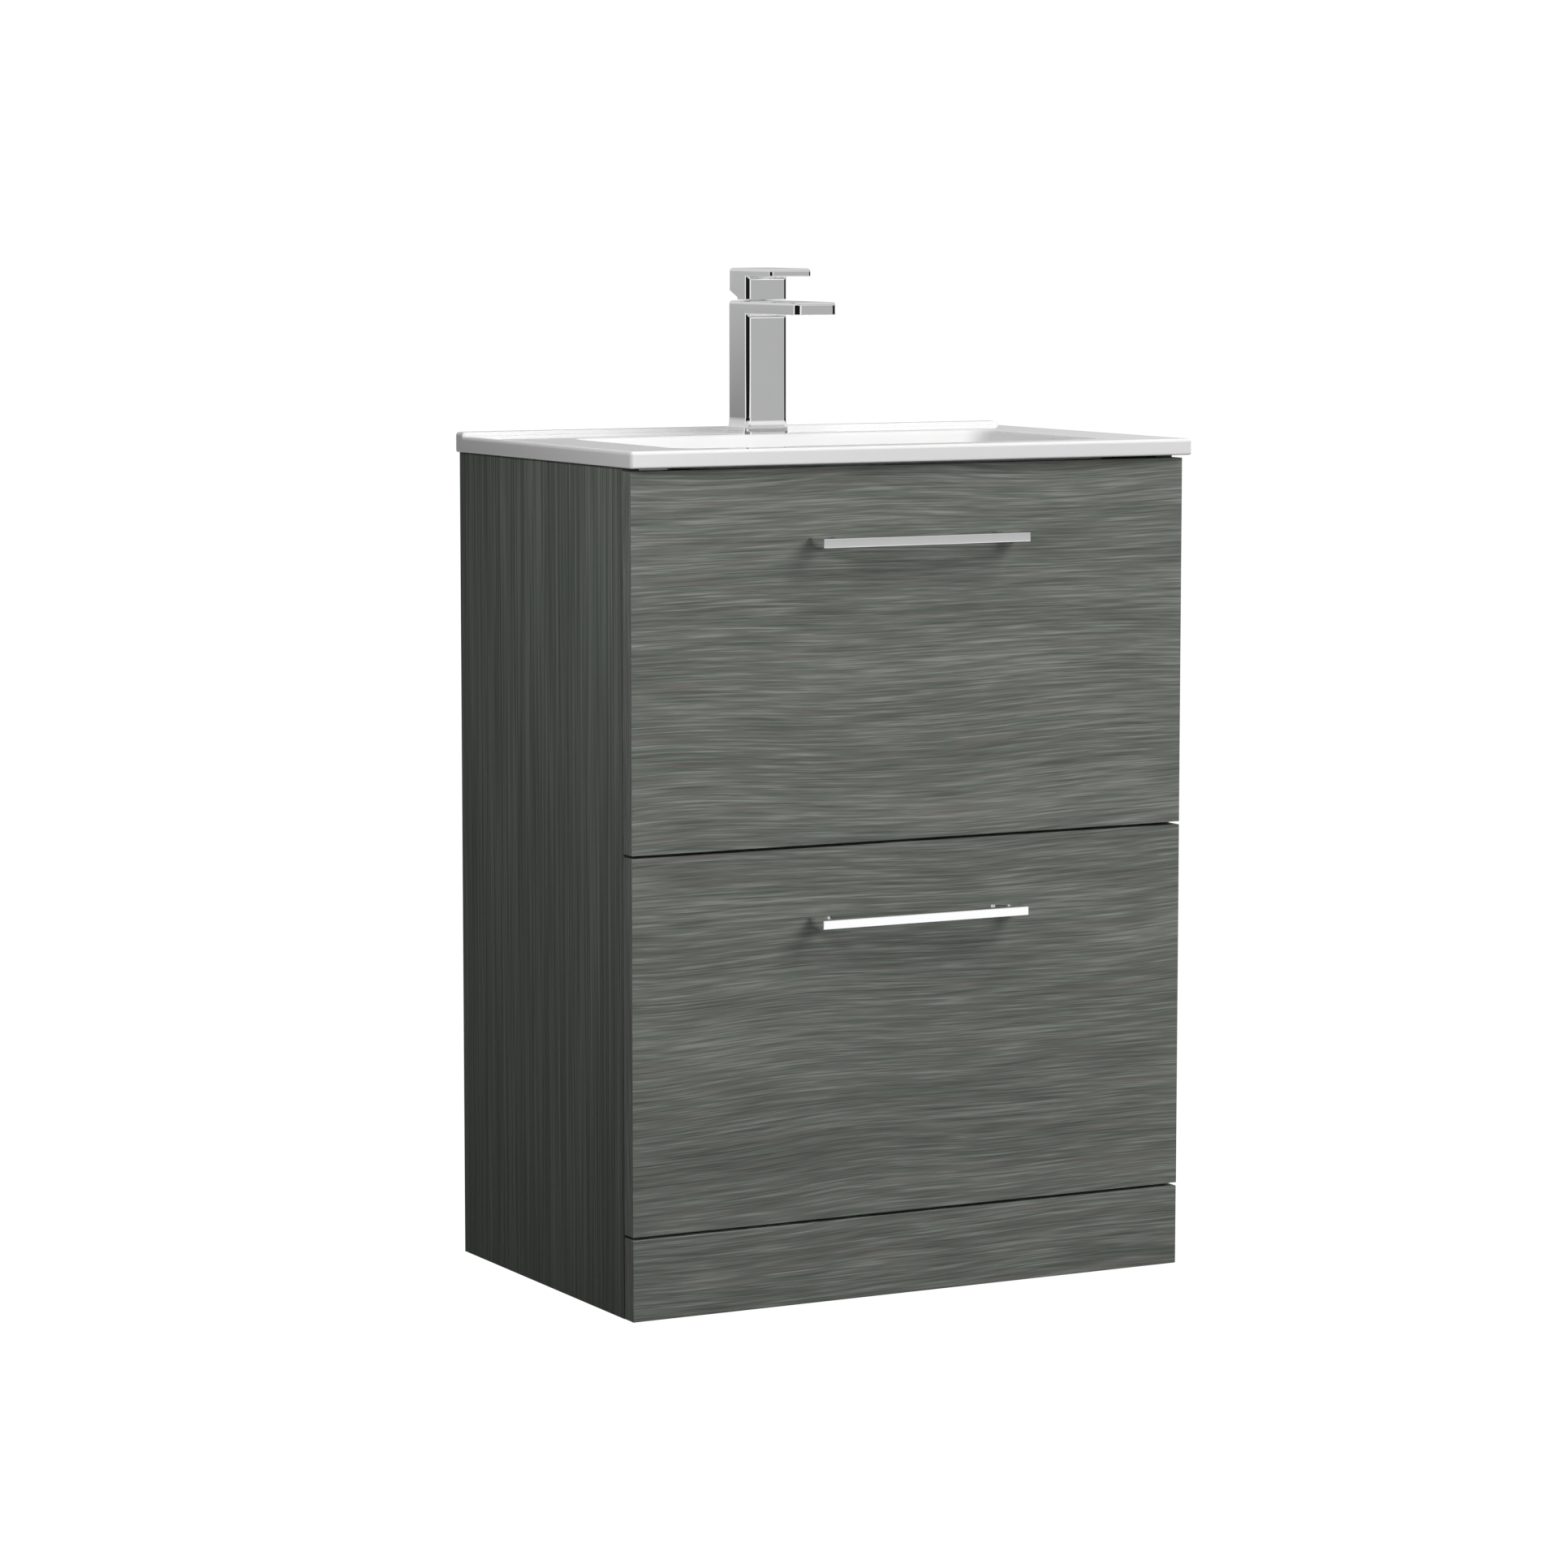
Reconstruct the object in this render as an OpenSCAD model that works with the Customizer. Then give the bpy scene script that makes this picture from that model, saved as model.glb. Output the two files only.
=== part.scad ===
// Floor-standing bathroom vanity: a two-drawer cabinet with a moulded basin, a lever tap and a bottle trap.
// The origin is on the floor, in the middle of the whole object seen from above. +Z is up, and the
// drawers open towards -Y.

/* [Cabinet] */
// Width of the cabinet, across its fronts
cabinet_w = 600; // [480:10:900]
// Depth of the cabinet, from the outer face of its fronts to the wall
cabinet_d = 382; // [310:1:480]
// Height of the cabinet under its basin
cabinet_h = 802; // [660:1:970]
// Thickness of the outer boards: fronts, sides and plinth
board_t = 18; // [15:0.5:22]
// Thickness of the inner boards: rails and base
rail_t = 16; // [14:0.5:19]
// Height of the plinth board
plinth_h = 78; // [60:1:100]
// Height of the front rail under the bowl
front_rail_h = 60; // [40:1:80]
// Depth of the rail between the two drawers
middle_rail_d = 60; // [40:1:80]
// Height of the upper back rail
back_rail_h = 90; // [60:1:110]
// Height of the lower back rail
low_rail_h = 100; // [80:1:120]
// Gap above and below each front
front_gap = 3; // [2:0.5:4]
// Thickness of the soft buffers between the fronts and the side panels
buffer_t = 1; // [0.5:0.1:2]

/* [Basin] */
// Thickness of the basin's visible edge
slab_t = 16; // [12:0.5:24]
// How far the basin stands out past each side panel
side_over = 5; // [3:0.5:12]
// How far the basin stands out past the fronts
front_over = 11; // [5:0.5:20]
// Height of the upstand along the basin's back edge
upstand_h = 4; // [2:0.5:15]
// Thickness of that upstand
upstand_t = 17; // [12:0.5:25]
// Deck beside the bowl, from the basin's side edge
side_deck = 72; // [56:1:90]
// Deck in front of the bowl, from the basin's front edge
front_deck = 37; // [35:1:60]
// Deck behind the bowl, which carries the tap
rear_deck = 112; // [100:1:140]
// Depth of the bowl under the deck
bowl_depth = 115; // [90:1:140]
// Thickness of the bowl's wall
shell_t = 9; // [7:0.5:12]
// Radius of the basin's outer corners
basin_corner_r = 4; // [2:0.5:10]
// Radius of the bowl's corners and of the curve into its floor
bowl_corner_r = 25; // [15:1:35]
// How far the bowl's walls lean in, from mouth to floor
bowl_lean = 34; // [24:1:45]
// Bevel of the bowl's lip
lip = 4; // [2:0.5:6]

/* [Tap] */
// Height of the tap's body above the deck
tap_h = 131.5; // [100:0.5:200]
// Width of the tap's column
column_w = 46; // [42:0.5:52]
// Depth of the tap's column
column_d = 42; // [36:0.5:46]
// From the tap's axis to the wall
tap_setback = 61.5; // [54:0.5:72]
// Length of the spout in front of the column
spout_l = 104.5; // [80:1:130]
// Width of the spout and of the lever's plate
spout_w = 46; // [40:0.5:50]
// Thickness of the spout
spout_t = 12.5; // [8:0.5:14]
// Height of the lever's block
block_h = 23.5; // [22:0.1:30]
// Gap between the body and the lever's block
block_gap = 1; // [0.8:0.1:4]
// Thickness of the lever's plate
plate_t = 8; // [4:0.5:10]
// How far the lever's plate reaches in front of the block
plate_l = 50.5; // [30:0.5:80]
// Height of the tap's base flange
flange_h = 6; // [3:0.5:8]
// How far the flange stands out around the column
flange_out = 1.8; // [1:0.1:4]
// Height of the curve from the flange up to the column
flare_h = 9; // [3:0.5:12]
// Radius of the hole in the deck for the tap
tap_hole_r = 17.5; // [16:0.5:18]
// Radius of the cartridge
cartridge_r = 14; // [12.5:0.5:14]
// Radius of the pin that the lever tips on
pin_r = 1.5; // [1:0.1:2]

/* [Handles] */
// Length of a handle
handle_l = 224.5; // [150:0.5:320]
// How far a handle stands out from its front
handle_reach = 28; // [22:0.5:40]
// Height of a handle's bar
handle_bar_h = 8.7; // [7:0.1:14]
// Thickness of a handle's bar
handle_bar_t = 8; // [6:0.5:12]
// From the top edge of a front to its handle's middle
handle_drop = 70.5; // [40:0.5:120]
// Distance between the two screws of a handle
handle_pitch = 208; // [128:1:288]

/* [Drawers] */
// Thickness of the drawer boxes' boards
box_t = 12; // [9:0.5:15]
// Height of the lower drawer box
lower_box_h = 160; // [90:1:200]
// Free space behind the drawer boxes, for pipes
service_gap = 43; // [30:1:60]
// From the lower edge of a front to its drawer box
box_rise = 15; // [10:1:30]
// Free height between the upper box and the front rail
rail_room = 31.5; // [20:0.5:50]
// Free space beside the trap in the upper drawer
trap_room = 50; // [30:1:70]
// Width of a telescopic runner, closed, from panel to drawer
runner_w = 12.7; // [12.7:0.1:13.5]
// Height of a telescopic runner
runner_h = 45; // [35:1:50]

/* [Waste] */
// Radius of the hole in the bowl's floor
waste_hole_r = 22.5; // [20:0.5:24]
// Radius of the waste's visible flange
waste_flange_r = 33; // [30:0.5:36]
// Length of the waste tube under the bowl
waste_l = 38; // [34:1:60]
// Radius of the bottle trap
trap_r = 30; // [26:0.5:34]
// Height of the bottle trap
trap_h = 80; // [60:1:100]
// Outer radius of the outlet pipe
outlet_r = 16; // [16:0.5:20]
// Length of the outlet pipe's spigot, at the wall
spigot_l = 40; // [25:1:60]
// How far a plug of the click kind rises when it opens
plug_rise = 6; // [4:0.5:9]

/* [Clearances] */
// Running clearance of pins and spindles, on the radius
run_c = 0.05; // [0.02:0.01:0.1]
// Assembly clearance of what is screwed or dropped into place, on the radius
fit_c = 0.2; // [0.1:0.05:0.4]
// Air between parts that pass each other
air = 1; // [0.6:0.1:2]

/* [Hidden] */
$fn = 48;
HULL_FN = 32; // facets of the corners inside a hull
EPS = 0.01; // cuts reach this far past a face
front_y = -(cabinet_d - handle_reach) / 2;
back_y = front_y + cabinet_d;
carcass_y = front_y + board_t + buffer_t;
in_x = cabinet_w / 2 - board_t;
front_h = (cabinet_h - plinth_h - 3 * front_gap) / 2;
lower_front_z = plinth_h + front_gap;
upper_front_z = lower_front_z + front_h + front_gap;
base_z = plinth_h - rail_t;

basin_w = cabinet_w + 2 * side_over;
basin_d = cabinet_d + front_over;
basin_y = front_y - front_over;
deck_z = cabinet_h + slab_t;
bowl_w = basin_w - 2 * side_deck;
bowl_d = basin_d - front_deck - rear_deck;
bowl_y = basin_y + front_deck + bowl_d / 2;
bowl_floor_z = deck_z - bowl_depth;
bowl_under_z = bowl_floor_z - shell_t;

front_rail_z = bowl_under_z - 5 - front_rail_h;
middle_rail_z = upper_front_z - front_gap / 2 - rail_t / 2;
bracket_z = cabinet_h - back_rail_h - 30;

tap_y = back_y - tap_setback;
tap_top_z = deck_z + tap_h;
block_z = tap_top_z + block_gap;
pivot_z = block_z + 2.3;
column_r = 4;
cartridge_top_z = tap_top_z - 6.5;
cartridge_l = 35;
spindle_r = 5;
collar_r = 8.7;
collar_t = 3;
cheek_t = 3;
cheek_x = 4.5;
cavity_h = 13;
stud_r = 3;
stud_y = tap_y - 10;
inlet_r = 4.5;
inlet_x = 8.5;
inlet_y = tap_y + 4;
inlet_l = 12;
clamp_t = 2.5;
clamp_slot_w = 2 * (inlet_x + inlet_r + 1);
clamp_nut_h = 6;
aerator_r = 11;
aerator_h = 4;
spout_tip_y = tap_y - column_d / 2 - spout_l;
aerator_y = spout_tip_y + 16;

box_l = cabinet_d - board_t - rail_t - service_gap;
box_y = front_y + board_t;
box_x = in_x - runner_w;
lower_box_z = lower_front_z + box_rise;
upper_box_z = upper_front_z + box_rise;
upper_box_h = front_rail_z - rail_room - upper_box_z;
cut_x = trap_r + trap_room;
cut_y = bowl_y - trap_r - 35;
cut_l = box_y + box_l - cut_y;
runner_y = box_y + 3;
runner_l = box_l - 5;
runner_rise = 45;
runner_t = 1.2;

waste_tube_r = waste_hole_r - 1.5;
waste_bore_r = waste_tube_r - 3;
waste_end_z = bowl_under_z - waste_l;
plug_stem_r = 3;
flange_t = 2;
trap_top_z = waste_end_z - 45;
trap_low_z = trap_top_z - trap_h;
trap_wall = 3;
cup_h = 30;
outlet_z = trap_top_z - 15;
neck_r = outlet_r + 3;
neck_y = bowl_y + trap_r + 22;
nut_wall = 6;
spigot_step = 0.5;

cam_r = 7.5;
cam_depth = 12.5;
cam_reach = 34;
cam_bolt_r = 3;
cam_thread_r = 2.5;
dowel_r = 4;
panel_bite = 11;
rail_bite = 19;
screw_r = 2;
handle_screw_r = 2;
handle_thread_l = 8;
bracket_leg = 42;
bracket_t = 2;
bracket_hole_r = 4;
bracket_hole_x = in_x - 26;
bracket_screw_y = back_y - 30;
bracket_screw_dz = 10;

steel = [0.62, 0.63, 0.64];
chrome = [0.8, 0.81, 0.83];
laminate = [0.36, 0.39, 0.36];
side_laminate = [0.28, 0.3, 0.28];
white = [0.95, 0.95, 0.94];
board_grey = [0.55, 0.57, 0.55];
plastic = [0.9, 0.9, 0.9];

// Cam fittings as [y, z, normal y, normal z]: where a bolt's axis crosses a side panel, and which face of
// the rail its lock goes into
CAMS = [
    [carcass_y + 60, plinth_h - rail_t / 2, 0, -1],
    [back_y - 60, plinth_h - rail_t / 2, 0, -1],
    [carcass_y + middle_rail_d - 18, middle_rail_z + rail_t / 2, 0, -1],
    [carcass_y + rail_t / 2, front_rail_z + front_rail_h - 18, 1, 0],
    [back_y - rail_t / 2, cabinet_h - 20, -1, 0],
    [back_y - rail_t / 2, plinth_h + low_rail_h - 20, -1, 0],
    [box_y + rail_t / 2, base_z - 22, 1, 0]
];

// Dowels as [y, z]
DOWELS = [
    [carcass_y + 95, plinth_h - rail_t / 2],
    [back_y - 95, plinth_h - rail_t / 2],
    [carcass_y + 15, middle_rail_z + rail_t / 2],
    [carcass_y + rail_t / 2, front_rail_z + 15],
    [back_y - rail_t / 2, cabinet_h - back_rail_h + 20],
    [back_y - rail_t / 2, plinth_h + 20],
    [box_y + rail_t / 2, 15]
];

// ---- Helpers ----

// The children, and their mirror image on the other side of the cabinet
module both_sides() {
    children();
    mirror([1, 0, 0]) children();
}

// A rectangle centred on the origin, with round corners
module rounded_rect(w, d, r) {
    square([w - 2 * r, d], center = true);
    square([w, d - 2 * r], center = true);
    for (x = [-1, 1], y = [-1, 1])
        translate([x * (w / 2 - r), y * (d / 2 - r)]) circle(r);
}

// A cylinder along X from x = a to x = b
module rod_x(r, a, b) {
    translate([a, 0, 0]) rotate([0, 90, 0]) cylinder(r = r, h = b - a);
}

// A cylinder along Y from y = a to y = b
module rod_y(r, a, b) {
    translate([0, a, 0]) rotate([-90, 0, 0]) cylinder(r = r, h = b - a);
}

// A tube standing on z = 0
module tube(outer, inner, h) {
    rotate_extrude() translate([inner, 0]) square([outer - inner, h]);
}

// A hexagon nut standing on z = 0, with a round hole
module hex_nut(across, inner, h) {
    difference() {
        cylinder(r = across / sqrt(3), h = h, $fn = 6);
        translate([0, 0, -EPS]) cylinder(r = inner, h = h + 2 * EPS);
    }
}

// Turns +Z to the rail face that a cam lock goes into
module towards(ny, nz) {
    rotate([nz == 1 ? 0 : nz == -1 ? 180 : ny == 1 ? -90 : 90, 0, 0]) children();
}

// ---- Cam fittings and dowels ----

// The pocket of one cam lock, or the lock itself when c is 0
module cam_disc(p, c) {
    translate([in_x - cam_reach, p[0], p[1]]) towards(p[2], p[3])
        translate([0, 0, rail_t / 2 - cam_depth - c])
            cylinder(r = cam_r + c, h = cam_depth + (c > 0 ? 2 * c : 0));
}

// What the cam fittings and dowels take out of the rails
module rail_cuts() {
    both_sides() {
        for (p = CAMS) {
            cam_disc(p, fit_c);
            translate([0, p[0], p[1]]) rod_x(cam_bolt_r + fit_c, in_x - cam_reach, in_x + EPS);
        }
        for (p = DOWELS)
            translate([0, p[0], p[1]]) rod_x(dowel_r, in_x - rail_bite, in_x + EPS);
    }
}

// What the fittings take out of a side panel
module panel_cuts() {
    for (p = CAMS)
        translate([0, p[0], p[1]]) rod_x(cam_thread_r, in_x - EPS, in_x + panel_bite);
    for (p = DOWELS)
        translate([0, p[0], p[1]]) rod_x(dowel_r, in_x - EPS, in_x + panel_bite);
    for (dz = [-bracket_screw_dz, bracket_screw_dz])
        translate([0, bracket_screw_y, bracket_z + dz]) rod_x(screw_r, in_x - EPS, in_x + panel_bite);
}

// ---- Carcass ----

module side_panel() {
    color(side_laminate) difference() {
        translate([in_x, carcass_y, 0]) cube([board_t, back_y - carcass_y, cabinet_h]);
        panel_cuts();
    }
}

module side_panel_right() {
    side_panel();
}

module side_panel_left() {
    mirror([1, 0, 0]) side_panel();
}

// A board that spans the cabinet between the side panels
module span_board(y, z, d, h) {
    color(board_grey) difference() {
        translate([-in_x, y, z]) cube([2 * in_x, d, h]);
        rail_cuts();
    }
}

module base_panel() {
    span_board(carcass_y, base_z, back_y - carcass_y, rail_t);
}

module plinth_board() {
    color(laminate) translate([-cabinet_w / 2, front_y, 0]) cube([cabinet_w, board_t, plinth_h]);
}

module plinth_rail() {
    span_board(box_y, 0, rail_t, base_z);
}

module front_rail() {
    span_board(carcass_y, front_rail_z, rail_t, front_rail_h);
}

module middle_rail() {
    span_board(carcass_y, middle_rail_z, middle_rail_d, rail_t);
}

module back_rail_top() {
    span_board(back_y - rail_t, cabinet_h - back_rail_h, rail_t, back_rail_h);
}

module back_rail_bottom() {
    span_board(back_y - rail_t, plinth_h, rail_t, low_rail_h);
}

module cam_locks() {
    color(steel) both_sides() for (p = CAMS) difference() {
        cam_disc(p, 0);
        translate([0, p[0], p[1]]) rod_x(cam_bolt_r + fit_c, in_x - cam_reach + 3, in_x);
    }
}

module cam_bolts() {
    color(steel) both_sides() for (p = CAMS) translate([0, p[0], p[1]]) {
        rod_x(cam_bolt_r, in_x - cam_reach + 3 + fit_c, in_x);
        rod_x(cam_thread_r, in_x, in_x + panel_bite);
    }
}

module wooden_dowels() {
    color("burlywood") both_sides() for (p = DOWELS)
        translate([0, p[0], p[1]]) rod_x(dowel_r, in_x - rail_bite, in_x + panel_bite);
}

module wall_bracket() {
    difference() {
        translate([in_x - bracket_leg, back_y - bracket_leg, bracket_z - 20]) difference() {
            cube([bracket_leg, bracket_leg, 40]);
            translate([-EPS, -EPS, -EPS])
                cube([bracket_leg - bracket_t + EPS, bracket_leg - bracket_t + EPS, 40 + 2 * EPS]);
        }
        translate([bracket_hole_x, 0, bracket_z]) rod_y(bracket_hole_r, back_y - bracket_t - EPS, back_y + EPS);
        for (dz = [-bracket_screw_dz, bracket_screw_dz])
            translate([0, bracket_screw_y, bracket_z + dz])
                rod_x(screw_r + fit_c, in_x - bracket_t - EPS, in_x + EPS);
    }
}

module wall_brackets() {
    color(steel) both_sides() wall_bracket();
}

module bracket_screws() {
    color(steel) both_sides() for (dz = [-bracket_screw_dz, bracket_screw_dz])
        translate([0, bracket_screw_y, bracket_z + dz]) {
            rod_x(2 * screw_r, in_x - bracket_t - screw_r, in_x - bracket_t);
            rod_x(screw_r, in_x - bracket_t, in_x + panel_bite);
        }
}

module front_buffers() {
    color(plastic) both_sides() for (z = [lower_front_z, upper_front_z], dz = [25, front_h - 25])
        translate([cabinet_w / 2 - board_t / 2, 0, z + dz]) rod_y(4, box_y, carcass_y);
}

// ---- Telescopic runners ----
// Every member is a channel. Its web lies web_d off the panel, and its lips span lip_a to lip_b.

module runner_member(z, half_h, web_d, lip_a, lip_b) {
    color(steel) both_sides() translate([in_x, runner_y + runner_l, z]) rotate([90, 0, 0])
        linear_extrude(runner_l) mirror([1, 0]) {
            translate([web_d, -half_h]) square([runner_t, 2 * half_h]);
            for (s = [0, 1]) mirror([0, s])
                translate([lip_a, half_h - runner_t]) square([lip_b - lip_a, runner_t]);
        }
}

module runner_outer(z) {
    runner_member(z, runner_h / 2, 0, 0, runner_w - 1.7);
}

module runner_middle(z) {
    runner_member(z, runner_h / 2 - 3.7, 2.2, 2.2, runner_w - 2.5);
}

module runner_inner(z) {
    runner_member(z, runner_h / 2 - 8.5, runner_w - runner_t, 4.5, runner_w);
}

module runner_outer_upper() {
    runner_outer(upper_box_z + runner_rise);
}

module runner_outer_lower() {
    runner_outer(lower_box_z + runner_rise);
}

module runner_middle_upper() {
    runner_middle(upper_box_z + runner_rise);
}

module runner_middle_lower() {
    runner_middle(lower_box_z + runner_rise);
}

module runner_inner_upper() {
    runner_inner(upper_box_z + runner_rise);
}

module runner_inner_lower() {
    runner_inner(lower_box_z + runner_rise);
}

// ---- Fronts and handles ----

module front_board(z) {
    color(laminate) difference() {
        translate([-cabinet_w / 2, front_y, z]) cube([cabinet_w, board_t, front_h]);
        for (s = [-1, 1]) translate([s * handle_pitch / 2, 0, z + front_h - handle_drop])
            rod_y(handle_screw_r + fit_c, front_y - EPS, box_y + EPS);
    }
}

// One foot of a handle seen from above: straight outside, sweeping out to a broad base inside
module handle_foot() {
    reach = handle_reach - handle_bar_t;
    difference() {
        square([reach + handle_bar_t, reach]);
        translate([reach + handle_bar_t, 0]) circle(reach);
    }
}

module handle(z) {
    color(chrome) translate([0, front_y - handle_reach, z + front_h - handle_drop]) difference() {
        translate([0, 0, -handle_bar_h / 2]) linear_extrude(handle_bar_h) {
            translate([-handle_l / 2, 0]) square([handle_l, handle_bar_t]);
            for (s = [0, 1]) mirror([s, 0]) translate([-handle_l / 2, handle_bar_t]) handle_foot();
        }
        for (s = [-1, 1]) translate([s * handle_pitch / 2, 0, 0])
            rod_y(handle_screw_r, handle_reach - handle_thread_l, handle_reach + EPS);
    }
}

module handle_screws(z) {
    color(steel) for (s = [-1, 1])
        translate([s * handle_pitch / 2, 0, z + front_h - handle_drop]) {
            rod_y(handle_screw_r, front_y - handle_thread_l, box_y);
            rod_y(2 * handle_screw_r, box_y, box_y + handle_screw_r);
        }
}

module upper_front() {
    front_board(upper_front_z);
}

module lower_front() {
    front_board(lower_front_z);
}

module upper_handle() {
    handle(upper_front_z);
}

module lower_handle() {
    handle(lower_front_z);
}

module upper_handle_screws() {
    handle_screws(upper_front_z);
}

module lower_handle_screws() {
    handle_screws(lower_front_z);
}

// ---- Drawer boxes ----

// The angle plates that hold a front to the sides of its box
module front_brackets(z, h) {
    plate = 2;
    leg = 26;
    color(steel) both_sides() translate([box_x - box_t, box_y, z + box_t + 8])
        linear_extrude(h - box_t - 20) polygon([
            [0, 0], [0, leg], [-plate, leg], [-plate, plate], [-leg, plate], [-leg, 0]
        ]);
}

module box_sides(z, h) {
    color(board_grey) both_sides() translate([box_x - box_t, box_y, z]) cube([box_t, box_l, h]);
}

module box_base(z) {
    translate([-box_x + box_t, box_y, z]) cube([2 * (box_x - box_t), box_l, box_t]);
}

module upper_front_brackets() {
    front_brackets(upper_box_z, upper_box_h);
}

module lower_front_brackets() {
    front_brackets(lower_box_z, lower_box_h);
}

module upper_box_sides() {
    box_sides(upper_box_z, upper_box_h);
}

module lower_box_sides() {
    box_sides(lower_box_z, lower_box_h);
}

module upper_box_base() {
    color(board_grey) difference() {
        box_base(upper_box_z);
        translate([-cut_x, cut_y, upper_box_z - EPS]) cube([2 * cut_x, cut_l + EPS, box_t + 2 * EPS]);
    }
}

module lower_box_base() {
    color(board_grey) box_base(lower_box_z);
}

module upper_box_back() {
    color(board_grey) both_sides()
        translate([cut_x + box_t, box_y + box_l - box_t, upper_box_z + box_t])
            cube([box_x - 2 * box_t - cut_x, box_t, upper_box_h - box_t]);
}

module lower_box_back() {
    color(board_grey) translate([-box_x + box_t, box_y + box_l - box_t, lower_box_z + box_t])
        cube([2 * (box_x - box_t), box_t, lower_box_h - box_t]);
}

// Three boards around the cut-out that lets the trap through
module trap_surround() {
    wall_h = upper_box_h - box_t;
    color(board_grey) translate([0, 0, upper_box_z + box_t]) {
        both_sides() translate([cut_x, cut_y, 0]) cube([box_t, cut_l, wall_h]);
        translate([-cut_x - box_t, cut_y - box_t, 0]) cube([2 * (cut_x + box_t), box_t, wall_h]);
    }
}

// ---- Basin ----

// The four corners of a bowl level, w by d, each made by the children
module at_corners(w, d) {
    for (x = [-1, 1], y = [-1, 1]) translate([x * w / 2, bowl_y + y * d / 2, 0]) children();
}

// The space inside the bowl, or with grow its outer form
module bowl_form(grow) {
    r = bowl_corner_r;
    mouth_w = bowl_w - 2 * lip - 2 * r;
    mouth_d = bowl_d - 2 * lip - 2 * r;
    hull() {
        at_corners(mouth_w, mouth_d) translate([0, 0, deck_z - lip])
            cylinder(r = r + grow, h = EPS, $fn = HULL_FN);
        at_corners(mouth_w - 2 * bowl_lean, mouth_d - 2 * bowl_lean) {
            translate([0, 0, bowl_floor_z + r]) sphere(r + grow, $fn = HULL_FN);
            translate([0, 0, bowl_floor_z - grow]) cylinder(r = r / 4, h = 1, $fn = HULL_FN);
        }
    }
}

// The bevel from the deck into the bowl
module bowl_lip() {
    r = bowl_corner_r;
    hull() {
        at_corners(bowl_w - 2 * r, bowl_d - 2 * r) translate([0, 0, deck_z])
            cylinder(r = r, h = EPS, $fn = HULL_FN);
        at_corners(bowl_w - 2 * lip - 2 * r, bowl_d - 2 * lip - 2 * r)
            translate([0, 0, deck_z - lip - EPS]) cylinder(r = r, h = EPS, $fn = HULL_FN);
    }
}

module basin() {
    color(white) difference() {
        union() {
            translate([0, basin_y + basin_d / 2, cabinet_h])
                linear_extrude(slab_t) rounded_rect(basin_w, basin_d, basin_corner_r);
            translate([0, back_y - upstand_t / 2, cabinet_h])
                linear_extrude(slab_t + upstand_h) rounded_rect(basin_w, upstand_t, basin_corner_r);
            bowl_form(shell_t);
        }
        bowl_form(0);
        bowl_lip();
        translate([0, tap_y, cabinet_h - EPS]) cylinder(r = tap_hole_r, h = slab_t + 2 * EPS);
        translate([0, bowl_y, bowl_under_z - EPS]) cylinder(r = waste_hole_r, h = shell_t + 1);
    }
}

// ---- Tap ----

module tap_body() {
    color(chrome) difference() {
        union() {
            translate([0, tap_y, deck_z]) {
                linear_extrude(flange_h)
                    rounded_rect(column_w + 2 * flange_out, column_d + 2 * flange_out, column_r);
                linear_extrude(tap_h) rounded_rect(column_w, column_d, column_r);
                column_flare();
            }
            translate([0, (spout_tip_y + tap_y) / 2, tap_top_z - spout_t])
                linear_extrude(spout_t) rounded_rect(spout_w, tap_y - spout_tip_y, 6);
            translate([0, tap_y - column_d / 2, tap_top_z - spout_t]) cove(spout_w, 5);
        }
        translate([0, tap_y, cartridge_top_z - cartridge_l])
            cylinder(r = cartridge_r + fit_c, h = cartridge_l + tap_h);
        translate([0, aerator_y, tap_top_z - spout_t - EPS]) cylinder(r = aerator_r + fit_c, h = aerator_h);
        for (s = [-1, 1]) translate([s * inlet_x, inlet_y, deck_z - EPS]) cylinder(r = inlet_r, h = inlet_l);
        translate([0, stud_y, deck_z - EPS]) cylinder(r = stud_r, h = inlet_l);
        translate([0, tap_y, deck_z - EPS]) tube(tap_hole_r + 2, tap_hole_r + 0.2, 1.5);
    }
}

// The hollow sweep from the flange up to the column, in three steps that get steeper
module column_flare() {
    for (i = [0:2]) hull() for (k = [i, i + 1]) {
        out = flange_out * pow(1 - k / 3, 2);
        translate([0, 0, flange_h + flare_h * k / 3]) linear_extrude(EPS)
            rounded_rect(column_w + 2 * out, column_d + 2 * out, column_r);
    }
}

// A hollow corner of radius r across the width w: under a plate, in front of a face, at the origin
module cove(w, r) {
    difference() {
        translate([-w / 2, -r, -r]) cube([w, r + column_r, r + 1]);
        translate([0, -r, -r]) rod_x(r, -w, w);
    }
}

module tap_gasket() {
    color("dimgray") translate([0, tap_y, deck_z]) tube(tap_hole_r + 2, tap_hole_r + 0.2, 1.5 - EPS);
}

// The aerator: a ring around a cross of thin bars
module tap_aerator() {
    color(plastic) translate([0, aerator_y, tap_top_z - spout_t]) {
        tube(aerator_r, aerator_r - 2.5, aerator_h - EPS);
        for (a = [0, 60, 120]) rotate([0, 0, a])
            translate([-aerator_r + 1, -0.6, 1]) cube([2 * aerator_r - 2, 1.2, 1.5]);
    }
}

module tap_cartridge() {
    color(plastic) translate([0, tap_y, cartridge_top_z - cartridge_l]) difference() {
        cylinder(r = cartridge_r, h = cartridge_l);
        translate([0, 0, cartridge_l - 10]) cylinder(r = spindle_r + run_c, h = 10 + EPS);
    }
}

module cartridge_nut() {
    color("goldenrod") translate([0, tap_y, cartridge_top_z]) tube(cartridge_r, collar_r + fit_c, 6);
}

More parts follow.
